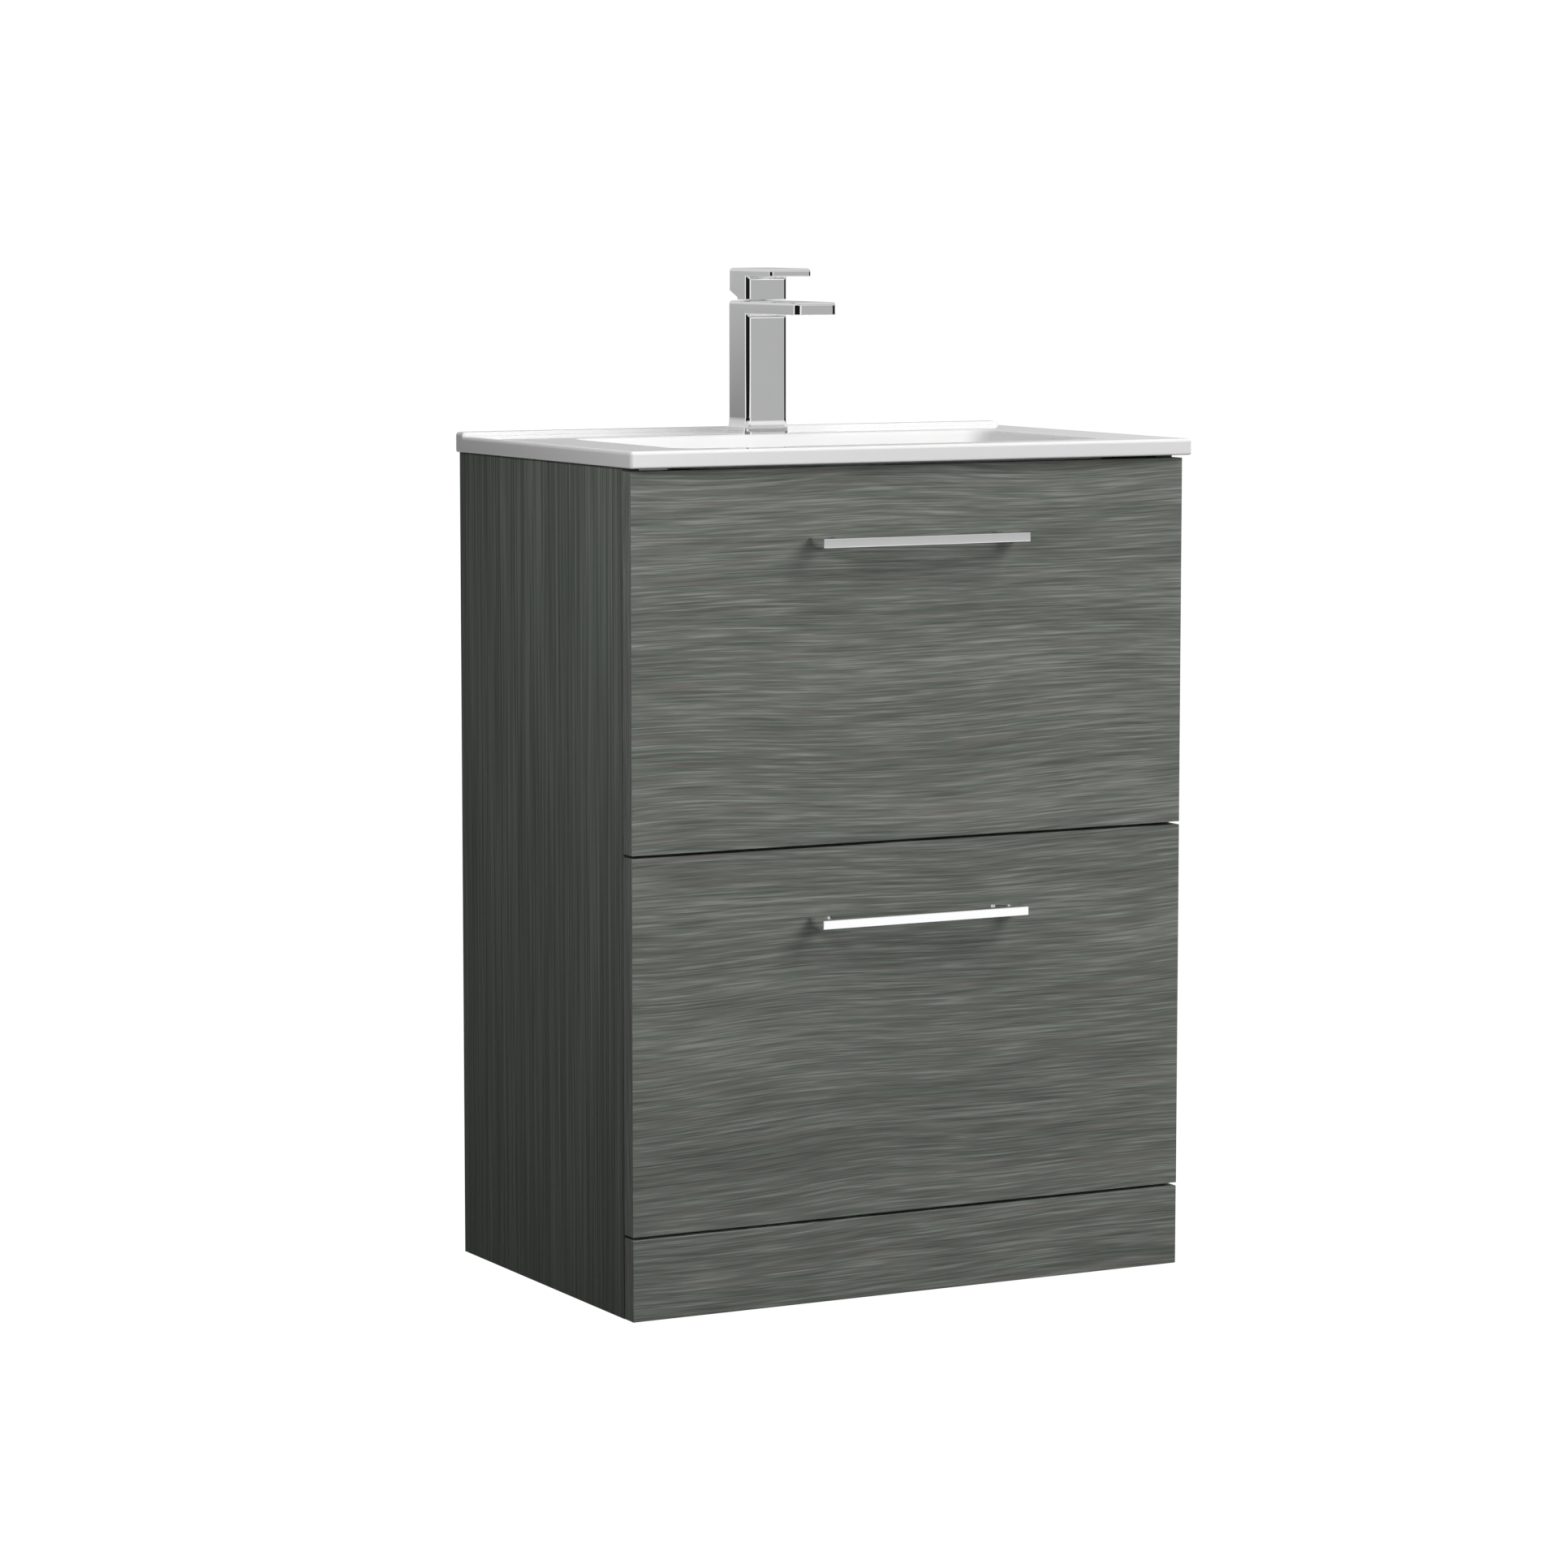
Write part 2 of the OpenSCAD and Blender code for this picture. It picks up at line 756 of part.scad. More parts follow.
// The spindle turns in the cartridge and carries the lever between two cheeks
module tap_spindle() {
    cheek_h = pivot_z + 4 - cartridge_top_z - collar_t;
    color(steel) translate([0, tap_y, cartridge_top_z]) difference() {
        union() {
            translate([0, 0, -9.5]) cylinder(r = spindle_r, h = 10);
            translate([0, 0, 0.3]) cylinder(r = collar_r, h = collar_t);
            both_sides() translate([cheek_x, -4, collar_t - 0.5]) cube([cheek_t, 8, cheek_h + 0.5]);
        }
        translate([0, 0, pivot_z - cartridge_top_z]) rod_x(pin_r, -10, 10);
    }
}

module lever_pin() {
    x = cheek_x + cheek_t;
    color(steel) translate([0, tap_y, pivot_z]) rod_x(pin_r, -x, x);
}

// The block's side view, with its lower back corner cut away so that it can tip
module block_profile() {
    front = -column_d / 2;
    back = column_d / 2 - 1;
    polygon([
        [front, 0], [0, 0], [0, 2.2], [back, 10.2], [back, block_h], [front, block_h]
    ]);
}

module tap_lever() {
    back = column_d / 2 - 1;
    plate_front = -column_d / 2 - plate_l;
    tongue_x = cheek_x - 0.3;
    color(chrome) translate([0, tap_y, block_z]) {
        difference() {
            intersection() {
                translate([-column_w / 2, 0, 0]) rotate([90, 0, 90]) linear_extrude(column_w) block_profile();
                linear_extrude(block_h) translate([0, -0.5])
                    rounded_rect(column_w, column_d - 1, column_r);
            }
            translate([-8.2, -9, -EPS]) cube([16.4, 18, cavity_h]);
        }
        difference() {
            union() {
                translate([0, 0, pivot_z - block_z]) rod_x(3.6, -tongue_x, tongue_x);
                translate([-tongue_x, -3.6, pivot_z - block_z])
                    cube([2 * tongue_x, 7.2, cavity_h + 1 - pivot_z + block_z]);
            }
            translate([0, 0, pivot_z - block_z]) rod_x(pin_r + run_c, -10, 10);
        }
        translate([0, (plate_front + back) / 2, block_h])
            linear_extrude(plate_t) rounded_rect(spout_w, back - plate_front, column_r);
        translate([0, -column_d / 2, block_h]) cove(spout_w, 4);
    }
}

module tap_stud() {
    color(steel) translate([0, stud_y, cabinet_h - 27]) cylinder(r = stud_r, h = 27 + slab_t + inlet_l - 1);
}

// A horseshoe plate that presses against the underside of the deck
module tap_clamp() {
    color(steel) translate([0, tap_y, cabinet_h - clamp_t]) difference() {
        linear_extrude(clamp_t) difference() {
            circle(24);
            translate([-clamp_slot_w / 2, inlet_y - tap_y - inlet_r - fit_c])
                square([clamp_slot_w, 40]);
        }
        translate([0, stud_y - tap_y, -EPS]) cylinder(r = stud_r + fit_c, h = clamp_t + 2 * EPS);
    }
}

module tap_nut() {
    color("goldenrod") translate([0, stud_y, cabinet_h - clamp_t - clamp_nut_h])
        hex_nut(10, stud_r, clamp_nut_h);
}

// ---- Waste and trap ----

module waste_body() {
    color(chrome) translate([0, bowl_y, 0]) {
        difference() {
            union() {
                translate([0, 0, bowl_floor_z]) cylinder(r = waste_flange_r, h = flange_t);
                translate([0, 0, waste_end_z]) cylinder(r = waste_tube_r, h = bowl_floor_z - waste_end_z + 1);
            }
            translate([0, 0, waste_end_z - EPS])
                cylinder(r = waste_bore_r, h = bowl_floor_z - waste_end_z + flange_t + 2 * EPS);
        }
        difference() {
            translate([0, 0, bowl_floor_z - 14]) union() {
                for (a = [0, 60, 120]) rotate([0, 0, a])
                    translate([-waste_bore_r - 1, -1.25, 0]) cube([2 * waste_bore_r + 2, 2.5, 8]);
                cylinder(r = plug_stem_r + 3, h = 8);
            }
            translate([0, 0, bowl_floor_z - 15]) cylinder(r = plug_stem_r + run_c, h = 10);
        }
    }
}

// The plug: a shallow dome over the flange, on a stem
module waste_plug() {
    r = waste_flange_r - 1.5;
    base = bowl_floor_z + flange_t + 0.4;
    color(chrome) translate([0, bowl_y, 0]) {
        translate([0, 0, base]) rotate_extrude() polygon([
            [0, 0], [r, 0], [r, 2.5], for (a = [75:-15:0]) [(r - 2) * a / 90 + 2 * sin(a), 3.5 + 1.5 * cos(a)]
        ]);
        translate([0, 0, bowl_floor_z - 14 - plug_rise]) cylinder(r = plug_stem_r, h = base + 15 + plug_rise - bowl_floor_z);
    }
}

module waste_seal() {
    color("dimgray") translate([0, bowl_y, bowl_under_z - 4]) tube(waste_flange_r, waste_tube_r + fit_c, 4);
}

module waste_nut() {
    color(plastic) translate([0, bowl_y, bowl_under_z - 12]) tube(waste_flange_r - 2, waste_tube_r, 8);
}

module trap_inlet_nut() {
    color(plastic) translate([0, bowl_y, waste_end_z - 10]) tube(waste_tube_r + nut_wall, waste_tube_r, 20);
}

// The bottle, with its inlet neck, its dip tube and its outlet neck
module trap_body() {
    shoulder = trap_r - trap_wall;
    neck_bore = waste_tube_r - trap_wall;
    color(plastic) translate([0, bowl_y, 0]) difference() {
        union() {
            translate([0, 0, trap_low_z + cup_h]) cylinder(r = trap_r, h = trap_h - cup_h);
            translate([0, 0, trap_top_z - 1]) cylinder(r = waste_tube_r, h = waste_end_z - trap_top_z + 1);
            translate([0, 0, outlet_z]) rod_y(neck_r, trap_r - 6, neck_y - bowl_y);
        }
        translate([0, 0, trap_low_z + cup_h - EPS])
            cylinder(r = shoulder, h = trap_h - cup_h - trap_wall);
        translate([0, 0, trap_top_z - trap_wall - 1])
            cylinder(r = neck_bore, h = waste_end_z - trap_top_z + trap_wall + 2);
        translate([0, 0, outlet_z]) rod_y(outlet_r, trap_r - 8, neck_y - bowl_y + EPS);
    }
}

module trap_cup() {
    color(plastic) translate([0, bowl_y, trap_low_z]) difference() {
        cylinder(r = trap_r, h = cup_h);
        translate([0, 0, trap_wall]) cylinder(r = trap_r - trap_wall, h = cup_h);
    }
}

module trap_outlet_nut() {
    color(plastic) translate([0, neck_y - 12, outlet_z]) difference() {
        rod_y(neck_r + nut_wall, 0, 16);
        rod_y(neck_r, -EPS, 12);
        rod_y(outlet_r, 0, 16 + EPS);
    }
}

module trap_outlet_pipe() {
    color(plastic) translate([0, 0, outlet_z]) difference() {
        union() {
            rod_y(outlet_r, bowl_y + trap_r, back_y - spigot_l);
            rod_y(outlet_r - spigot_step, bowl_y + trap_r, back_y);
        }
        rod_y(outlet_r - 2.5, bowl_y + trap_r - EPS, back_y + EPS);
    }
}

side_panel_left();
side_panel_right();
base_panel();
plinth_board();
plinth_rail();
front_rail();
middle_rail();
back_rail_top();
back_rail_bottom();
cam_locks();
cam_bolts();
wooden_dowels();
wall_brackets();
bracket_screws();
front_buffers();
runner_outer_upper();
runner_outer_lower();
runner_middle_upper();
runner_middle_lower();
runner_inner_upper();
runner_inner_lower();
upper_front();
upper_handle();
upper_handle_screws();
upper_front_brackets();
upper_box_sides();
upper_box_base();
upper_box_back();
trap_surround();
lower_front();
lower_handle();
lower_handle_screws();
lower_front_brackets();
lower_box_sides();
lower_box_base();
lower_box_back();
basin();
tap_body();
tap_gasket();
tap_aerator();
tap_cartridge();
cartridge_nut();
tap_spindle();
lever_pin();
tap_lever();
tap_stud();
tap_clamp();
tap_nut();
waste_body();
waste_plug();
waste_seal();
waste_nut();
trap_inlet_nut();
trap_body();
trap_cup();
trap_outlet_nut();
trap_outlet_pipe();
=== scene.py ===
import math

import bmesh
import bpy
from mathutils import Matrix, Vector


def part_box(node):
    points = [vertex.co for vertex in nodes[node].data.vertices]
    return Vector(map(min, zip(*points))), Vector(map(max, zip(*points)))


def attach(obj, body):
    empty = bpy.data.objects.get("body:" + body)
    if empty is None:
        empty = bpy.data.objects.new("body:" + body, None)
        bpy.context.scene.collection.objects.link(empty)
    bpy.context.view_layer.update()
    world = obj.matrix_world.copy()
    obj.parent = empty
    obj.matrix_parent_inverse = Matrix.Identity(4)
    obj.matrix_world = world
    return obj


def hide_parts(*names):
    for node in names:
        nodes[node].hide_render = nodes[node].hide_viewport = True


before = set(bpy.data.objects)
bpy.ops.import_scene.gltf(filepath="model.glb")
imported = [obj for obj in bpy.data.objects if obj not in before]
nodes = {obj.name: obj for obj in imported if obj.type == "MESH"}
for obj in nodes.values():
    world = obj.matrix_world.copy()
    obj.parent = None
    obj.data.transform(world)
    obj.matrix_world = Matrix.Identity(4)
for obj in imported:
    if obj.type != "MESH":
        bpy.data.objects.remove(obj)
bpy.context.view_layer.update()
MM = 0.001                              # shapes are written in millimetres, and the scene is in metres

CAMERA_PLACE = (-2.3966, -4.4416, 1.0339)
CAMERA_TILT = math.radians(83.698)      # from looking straight down
CAMERA_TURN = math.radians(-27.887)     # from looking along y
FOCAL_LENGTH = 118.18                   # mm, on a 36 mm wide sensor


def put_in_scene(name, data):
    obj = bpy.data.objects.new(name, data)
    bpy.context.scene.collection.objects.link(obj)
    return obj


# ---------------------------------------------------------------- camera

def make_camera():
    data = bpy.data.cameras.new("camera")
    data.lens = FOCAL_LENGTH
    data.sensor_width = 36
    data.clip_start = 0.05
    data.clip_end = 100
    cam = put_in_scene("camera", data)
    cam.location = CAMERA_PLACE
    cam.rotation_euler = (CAMERA_TILT, 0, CAMERA_TURN)
    bpy.context.scene.camera = cam


make_camera()
bpy.context.scene.view_settings.view_transform = "Standard"


# ---------------------------------------------------------------- node helpers

def rgba(value):
    """A colour with its alpha. A node's output passes through."""
    return (*value, 1) if isinstance(value, tuple) else value


class Tree:
    """A short way to write a material's or the world's nodes."""

    def __init__(self, tree):
        self.tree = tree
        tree.nodes.clear()

    def add(self, kind, **props):
        node = self.tree.nodes.new(kind)
        for key, value in props.items():
            setattr(node, key, value)
        return node

    def link(self, out, into):
        self.tree.links.new(out, into)

    def put(self, value, socket):
        if hasattr(value, "links"):
            self.link(value, socket)
        else:
            socket.default_value = value

    def math(self, op, a, b=0.0, clamp=False):
        node = self.add("ShaderNodeMath", operation=op, use_clamp=clamp)
        for value, socket in zip((a, b), node.inputs):
            self.put(value, socket)
        return node.outputs[0]

    def times(self, a, b):
        return self.math("MULTIPLY", a, b)

    def plus(self, a, b):
        return self.math("ADD", a, b)

    def minus(self, a, b):
        return self.math("SUBTRACT", a, b)

    def ramp(self, value, stops):
        """A colour ramp through (position, colour or grey tone) stops."""
        node = self.add("ShaderNodeValToRGB")
        elements = node.color_ramp.elements
        while len(elements) > 1:
            elements.remove(elements[-1])
        for i, (position, color) in enumerate(stops):
            stop = elements[0] if i == 0 else elements.new(position)
            stop.position = position
            stop.color = rgba(color if isinstance(color, tuple) else grey(color))
        self.put(value, node.inputs[0])
        return node.outputs[0]

    def remap(self, value, from_low, from_high, to_low=0.0, to_high=1.0, smooth=False):
        node = self.add("ShaderNodeMapRange", interpolation_type="SMOOTHSTEP" if smooth else "LINEAR")
        for v, socket in zip((value, from_low, from_high, to_low, to_high), node.inputs):
            self.put(v, socket)
        return node.outputs[0]

    def mix(self, factor, a, b, blend="MIX"):
        node = self.add("ShaderNodeMix", data_type="RGBA", blend_type=blend)
        colors_in = [socket for socket in node.inputs if socket.type == "RGBA"]
        color_out = [socket for socket in node.outputs if socket.type == "RGBA"][0]
        self.put(factor, node.inputs[0])
        for value, socket in zip((a, b), colors_in):
            self.put(rgba(value), socket)
        return color_out

    def coordinates(self, output):
        """A texture coordinate, whole and as its x, y and z."""
        coords = self.add("ShaderNodeTexCoord")
        split = self.add("ShaderNodeSeparateXYZ")
        self.link(coords.outputs[output], split.inputs[0])
        return coords.outputs[output], split.outputs

    def vector(self, x, y, z):
        node = self.add("ShaderNodeCombineXYZ")
        for value, socket in zip((x, y, z), node.inputs):
            self.put(value, socket)
        return node.outputs[0]

    def noise(self, vec, scale=1.0, detail=2.0, rough=0.5):
        node = self.add("ShaderNodeTexNoise")
        self.link(vec, node.inputs["Vector"])
        node.inputs["Scale"].default_value = scale
        node.inputs["Detail"].default_value = detail
        node.inputs["Roughness"].default_value = rough
        return node.outputs["Fac"]

    def stretched(self, xyz, scales, detail=2.0, rough=0.5):
        """A noise with its own scale, in waves a metre, along each of three axes."""
        return self.noise(self.vector(*[self.times(v, k) for v, k in zip(xyz, scales)]), 1.0, detail, rough)

    def bump(self, height, distance, strength=1.0):
        node = self.add("ShaderNodeBump")
        node.inputs["Strength"].default_value = strength
        node.inputs["Distance"].default_value = distance
        self.link(height, node.inputs["Height"])
        return node.outputs[0]

    def principled(self, color, rough, metallic=0.0, normal=None, **sockets):
        shader = self.add("ShaderNodeBsdfPrincipled")
        self.put(rgba(color), shader.inputs["Base Color"])
        self.put(rough, shader.inputs["Roughness"])
        shader.inputs["Metallic"].default_value = metallic
        for name, value in sockets.items():
            shader.inputs[name.replace("_", " ")].default_value = value
        if normal is not None:
            self.link(normal, shader.inputs["Normal"])
        self.output(shader)

    def output(self, shader, kind="ShaderNodeOutputMaterial"):
        self.link(shader.outputs[0], self.add(kind).inputs[0])


def new_material(name):
    mat = bpy.data.materials.new(name)
    mat.use_nodes = True
    return mat, Tree(mat.node_tree)


def srgb(r, g, b):
    """A colour in 0-255 display values, as linear light."""
    return tuple(c / 255 / 12.92 if c <= 10 else ((c / 255 + 0.055) / 1.055) ** 2.4 for c in (r, g, b))


def shade(color, k):
    return tuple(c * k for c in color)


def grey(tone):
    return (tone, tone, tone)


# ---------------------------------------------------------------- materials

# Woodgrain noises, each as its waves a metre along the grain, across it and through the board, its detail
# and its roughness. The first three make the lines sway, by so many metres.
SWAY = [((2.6, 3.4, 1.0), 1.0, 0.4, 0.034), ((11.0, 24.0, 3.0), 2.0, 0.5, 0.0014),
        ((34.0, 90.0, 9.0), 1.0, 0.5, 0.0002)]
# fine lines, coarser lines, bands, broad bands and the patches that turn brown
LINES = [((15.0, 700.0, 6.0), 3.0, 0.6), ((11.0, 370.0, 4.0), 2.0, 0.5), ((3.0, 46.0, 2.0), 2.0, 0.5),
         ((1.7, 11.0, 1.0), 1.0, 0.5), ((9.0, 210.0, 3.0), 2.0, 0.5)]


def streaks(t, along, across, depth, wave, seed):
    """The noises of LINES, for grain that runs along one axis and sways wave times as much as on a front."""
    shift = 0.0
    for scales, detail, rough, reach in SWAY:
        sway = t.stretched((along, across, depth), scales, detail, rough)
        shift = t.plus(shift, t.times(t.minus(sway, 0.5), reach * wave))
    across = t.plus(t.plus(across, shift), seed)
    return [t.stretched((along, across, depth), *line) for line in LINES]


def laminate(name, tones, gains, wave, seed, specular, front):
    """Satin woodgrain foil. The grain lies level on a front, upright on its two end edges, and upright on a
    side panel. gains is how strongly each of the first four LINES shows."""
    mat, t = new_material(name)
    _, (x, y, z) = t.coordinates("Object")
    if front:
        _, normal = t.coordinates("Normal")
        edge = t.math("GREATER_THAN", t.math("ABSOLUTE", normal[0]), 0.7)
        face = t.minus(1.0, edge)
        along = t.plus(t.times(x, face), t.times(z, edge))
        across = t.plus(t.times(z, face), t.times(y, edge))
        depth = t.times(y, face)
    else:
        along, across, depth = t.times(z, 0.3), y, x
    *lines, patch = streaks(t, along, across, depth, wave, seed)

    tone = 0.0
    for part, gain in zip(lines, gains):
        tone = t.plus(tone, t.times(t.minus(part, 0.5), gain))
    tone = t.math("ADD", tone, 0.5, clamp=True)
    green = t.ramp(tone, zip((0.0, 0.5, 1.0), tones))
    brown = t.mix(tone, shade(TAUPE, 0.72), shade(TAUPE, 1.35))
    color = t.mix(t.remap(patch, 0.56, 0.68, 0.0, 0.85, smooth=True), green, brown)
    if front:
        color = t.mix(edge, color, t.mix(1.0, color, grey(0.86), "MULTIPLY"))
    pores = lines[0]
    t.principled(color, t.remap(pores, 0.3, 0.7, 0.46, 0.60), normal=t.bump(pores, 0.00012, 0.5),
                 Specular_IOR_Level=specular)
    return mat


def melamine():
    mat, t = new_material("carcass_melamine")
    vec, _ = t.coordinates("Object")
    cloud = t.noise(vec, 9.0, detail=3.0)
    grain = t.noise(vec, 1400.0, rough=0.6)
    t.principled(t.mix(cloud, (0.245, 0.255, 0.245), (0.30, 0.31, 0.30)), t.remap(grain, 0.3, 0.7, 0.5, 0.62),
                 normal=t.bump(grain, 0.00006, 0.6), Specular_IOR_Level=0.3)
    return mat


def glaze():
    mat, t = new_material("white_glaze")
    vec, _ = t.coordinates("Object")
    cloud = t.noise(vec, 6.0)
    peel = t.noise(vec, 55.0)
    t.principled(t.mix(cloud, grey(0.845), (0.865, 0.865, 0.862)), t.remap(peel, 0.3, 0.7, 0.035, 0.065),
                 normal=t.bump(peel, 0.00004, 0.08), Specular_IOR_Level=0.5, IOR=1.5)
    return mat


def chrome():
    mat, t = new_material("polished_chrome")
    vec, _ = t.coordinates("Object")
    haze = t.noise(vec, 70.0, detail=3.0, rough=0.6)
    wobble = t.noise(vec, 22.0, detail=1.0)
    t.principled(t.mix(haze, (0.93, 0.935, 0.94), grey(0.96)), t.remap(haze, 0.35, 0.7, 0.025, 0.05),
                 metallic=1.0, normal=t.bump(wobble, 0.00003, 0.25))
    return mat


def zinc():
    mat, t = new_material("zinc_plate")
    vec, xyz = t.coordinates("Object")
    spangle = t.add("ShaderNodeTexVoronoi")
    t.link(vec, spangle.inputs["Vector"])
    spangle.inputs["Scale"].default_value = 160.0
    scratch = t.stretched(xyz, (900.0, 60.0, 900.0), rough=0.6)
    tone = t.plus(t.times(spangle.outputs["Distance"], 0.5), t.times(scratch, 0.5))
    t.principled(t.mix(tone, (0.50, 0.51, 0.53), (0.68, 0.69, 0.70)), t.remap(scratch, 0.3, 0.7, 0.26, 0.42),
                 metallic=1.0, normal=t.bump(scratch, 0.00004, 0.4))
    return mat


def beech():
    mat, t = new_material("bare_beech")
    _, xyz = t.coordinates("Object")
    fleck = t.stretched(xyz, (120.0, 900.0, 900.0), rough=0.6)
    t.principled(t.mix(fleck, (0.50, 0.33, 0.18), (0.68, 0.50, 0.32)), t.remap(fleck, 0.3, 0.7, 0.55, 0.7),
                 normal=t.bump(fleck, 0.00008, 0.6))
    return mat


def brass():
    mat, t = new_material("turned_brass")
    _, xyz = t.coordinates("Object")
    turning = t.stretched(xyz, (60.0, 60.0, 1500.0), rough=0.6)
    t.principled(t.mix(turning, (0.66, 0.48, 0.22), (0.80, 0.63, 0.34)),
                 t.remap(turning, 0.3, 0.7, 0.16, 0.32), metallic=1.0, normal=t.bump(turning, 0.00003, 0.4))
    return mat


def moulded(name, low, high, rough_low, rough_high, grain_scale, grain_depth):
    """Moulded plastic or rubber, with a cloudy tone and a fine moulded grain."""
    mat, t = new_material(name)
    vec, _ = t.coordinates("Object")
    cloud = t.noise(vec, 14.0, detail=3.0)
    grain = t.noise(vec, grain_scale, rough=0.6)
    t.principled(t.mix(cloud, low, high), t.remap(grain, 0.3, 0.7, rough_low, rough_high),
                 normal=t.bump(grain, grain_depth, 0.5))
    return mat


FRONT_TONES = [srgb(90, 94.5, 88.5), srgb(114, 118.5, 112), srgb(150, 154, 147.5)]
SIDE_TONES = [srgb(84, 90, 83.5), srgb(109, 115.5, 108.5), srgb(138, 144.5, 137)]
TAUPE = srgb(117, 115, 111)

MATERIALS = {
    "front_laminate": laminate("front_woodgrain", FRONT_TONES, gains=(1.9, 1.35, 0.6, 0.35), wave=1.0,
                               seed=0.37, specular=0.14, front=True),
    "side_laminate": laminate("side_woodgrain", SIDE_TONES, gains=(1.9, 1.7, 0.9, 0.5), wave=0.12,
                              seed=1.91, specular=0.02, front=False),
    "carcass_board": melamine(),
    "zinc_steel": zinc(),
    "beech": beech(),
    "soft_plastic": moulded("soft_bumper", grey(0.68), grey(0.76), 0.32, 0.48, 300.0, 0.00003),
    "glaze": glaze(),
    "chrome": chrome(),
    "rubber_seal": moulded("black_rubber", grey(0.035), grey(0.06), 0.6, 0.8, 900.0, 0.00006),
    "brass": brass(),
    "white_plastic": moulded("white_moulding", (0.76, 0.76, 0.755), (0.82, 0.82, 0.815), 0.28, 0.4, 420.0,
                             0.00003),
}


# ---------------------------------------------------------------- the CAD nodes' finish

# the CAD nodes of each of the record's material slots
SLOTS = {
    "side_laminate": ["side_panel_left", "side_panel_right"],
    "front_laminate": ["upper_front", "lower_front", "plinth_board"],
    "carcass_board": ["base_panel", "plinth_rail", "front_rail", "middle_rail", "back_rail_top",
                      "back_rail_bottom", "upper_box_sides", "upper_box_base", "upper_box_back",
                      "trap_surround", "lower_box_sides", "lower_box_base", "lower_box_back"],
    "zinc_steel": ["cam_locks", "cam_bolts", "wall_brackets", "bracket_screws", "runner_outer_upper",
                   "runner_outer_lower", "runner_middle_upper", "runner_middle_lower",
                   "runner_inner_upper", "runner_inner_lower", "upper_front_brackets",
                   "lower_front_brackets", "upper_handle_screws", "lower_handle_screws", "tap_stud",
                   "tap_clamp", "lever_pin"],
    "beech": ["wooden_dowels"],
    "soft_plastic": ["front_buffers"],
    "chrome": ["upper_handle", "lower_handle", "tap_body", "tap_lever", "tap_spindle", "cartridge_nut",
               "waste_body", "waste_plug"],
    "rubber_seal": ["tap_gasket", "waste_seal"],
    "brass": ["tap_nut", "waste_nut"],
    "white_plastic": ["tap_aerator", "tap_cartridge", "trap_inlet_nut", "trap_body", "trap_cup",
                      "trap_outlet_nut", "trap_outlet_pipe"],
}

# how wide each kind of piece's edges are rounded, in millimetres, and in how many steps
EDGES = {
    "side_laminate": (0.7, 2), "front_laminate": (0.7, 2), "carcass_board": (0.5, 1), "zinc_steel": (0.2, 1),
    "soft_plastic": (0.4, 2), "chrome": (0.5, 3), "white_plastic": (0.5, 2), "brass": (0.3, 1),
}


SAME_PLACE = 0.01 * MM                  # points closer than this are one
SAME_PLANE = math.radians(1.5)          # faces flatter than this to each other are one
SHARP_EDGE = math.radians(38)           # edges sharper than this are rounded


def round_edges(obj, width, steps):
    obj.modifiers.new("weld", "WELD").merge_threshold = SAME_PLACE
    flat = obj.modifiers.new("flat", "DECIMATE")
    flat.decimate_type = "DISSOLVE"
    flat.angle_limit = SAME_PLANE
    bevel = obj.modifiers.new("edges", "BEVEL")
    bevel.width = width * MM
    bevel.segments = steps
    bevel.limit_method = "ANGLE"
    bevel.angle_limit = SHARP_EDGE
    obj.modifiers.new("normals", "WEIGHTED_NORMAL").keep_sharp = True


def smooth(mesh):
    for poly in mesh.polygons:
        poly.use_smooth = True


for slot, names in SLOTS.items():
    for name in names:
        obj = nodes[name]
        obj.data.materials.clear()
        obj.data.materials.append(MATERIALS[slot])
        smooth(obj.data)
        if slot in EDGES:
            round_edges(obj, *EDGES[slot])


# ---------------------------------------------------------------- shapes from rings of points, in millimetres

def arc(steps, start=0.0, end=90.0):
    """Angles from start to end, given in degrees, in even steps."""
    return [math.radians(start + (end - start) * i / steps) for i in range(steps + 1)]


def between(a, b, share):
    return a + (b - a) * share


def rounded_ring(a, b, r, corner=12, side=8):
    """Points of a rectangle of half sizes a and b with corner radius r, always the same number of them."""
    points = []
    signs = ((1, 1), (-1, 1), (-1, -1), (1, -1))
    for i, (sx, sy) in enumerate(signs):
        cx, cy = sx * (a - r), sy * (b - r)
        for turn in range(corner + 1):
            angle = i * math.pi / 2 + turn / corner * math.pi / 2
            points.append((cx + r * math.cos(angle), cy + r * math.sin(angle)))
        px, py = points[-1]
        nx, ny = signs[(i + 1) % 4]
        end = (nx * (a - r), ny * b) if i % 2 == 0 else (nx * a, ny * (b - r))
        points += [(between(px, end[0], j / side), between(py, end[1], j / side)) for j in range(1, side)]
    return points


class Loft:
    """Rings of points joined into a skin."""

    def __init__(self):
        self.bm = bmesh.new()

    def ring(self, points):
        return [self.bm.verts.new([c * MM for c in p]) for p in points]

    def join(self, a, b):
        for i in range(len(a)):
            j = (i + 1) % len(a)
            self.bm.faces.new((a[i], a[j], b[j], b[i]))

    def chain(self, rings):
        for a, b in zip(rings, rings[1:]):
            self.join(a, b)

    def fill(self, outer, inner):
        """The flat face between two loops."""
        edges = set()
        for loop in (outer, inner):
            for i, v in enumerate(loop):
                w = loop[(i + 1) % len(loop)]
                edges.add(self.bm.edges.get((v, w)) or self.bm.edges.new((v, w)))
        bmesh.ops.triangle_fill(self.bm, use_beauty=True, use_dissolve=False, edges=list(edges))

    def finish(self, name):
        bmesh.ops.recalc_face_normals(self.bm, faces=self.bm.faces)
        mesh = bpy.data.meshes.new(name)
        self.bm.to_mesh(mesh)
        self.bm.free()
        mesh.update()
        smooth(mesh)
        return put_in_scene(name, mesh)


# ---------------------------------------------------------------- the basin

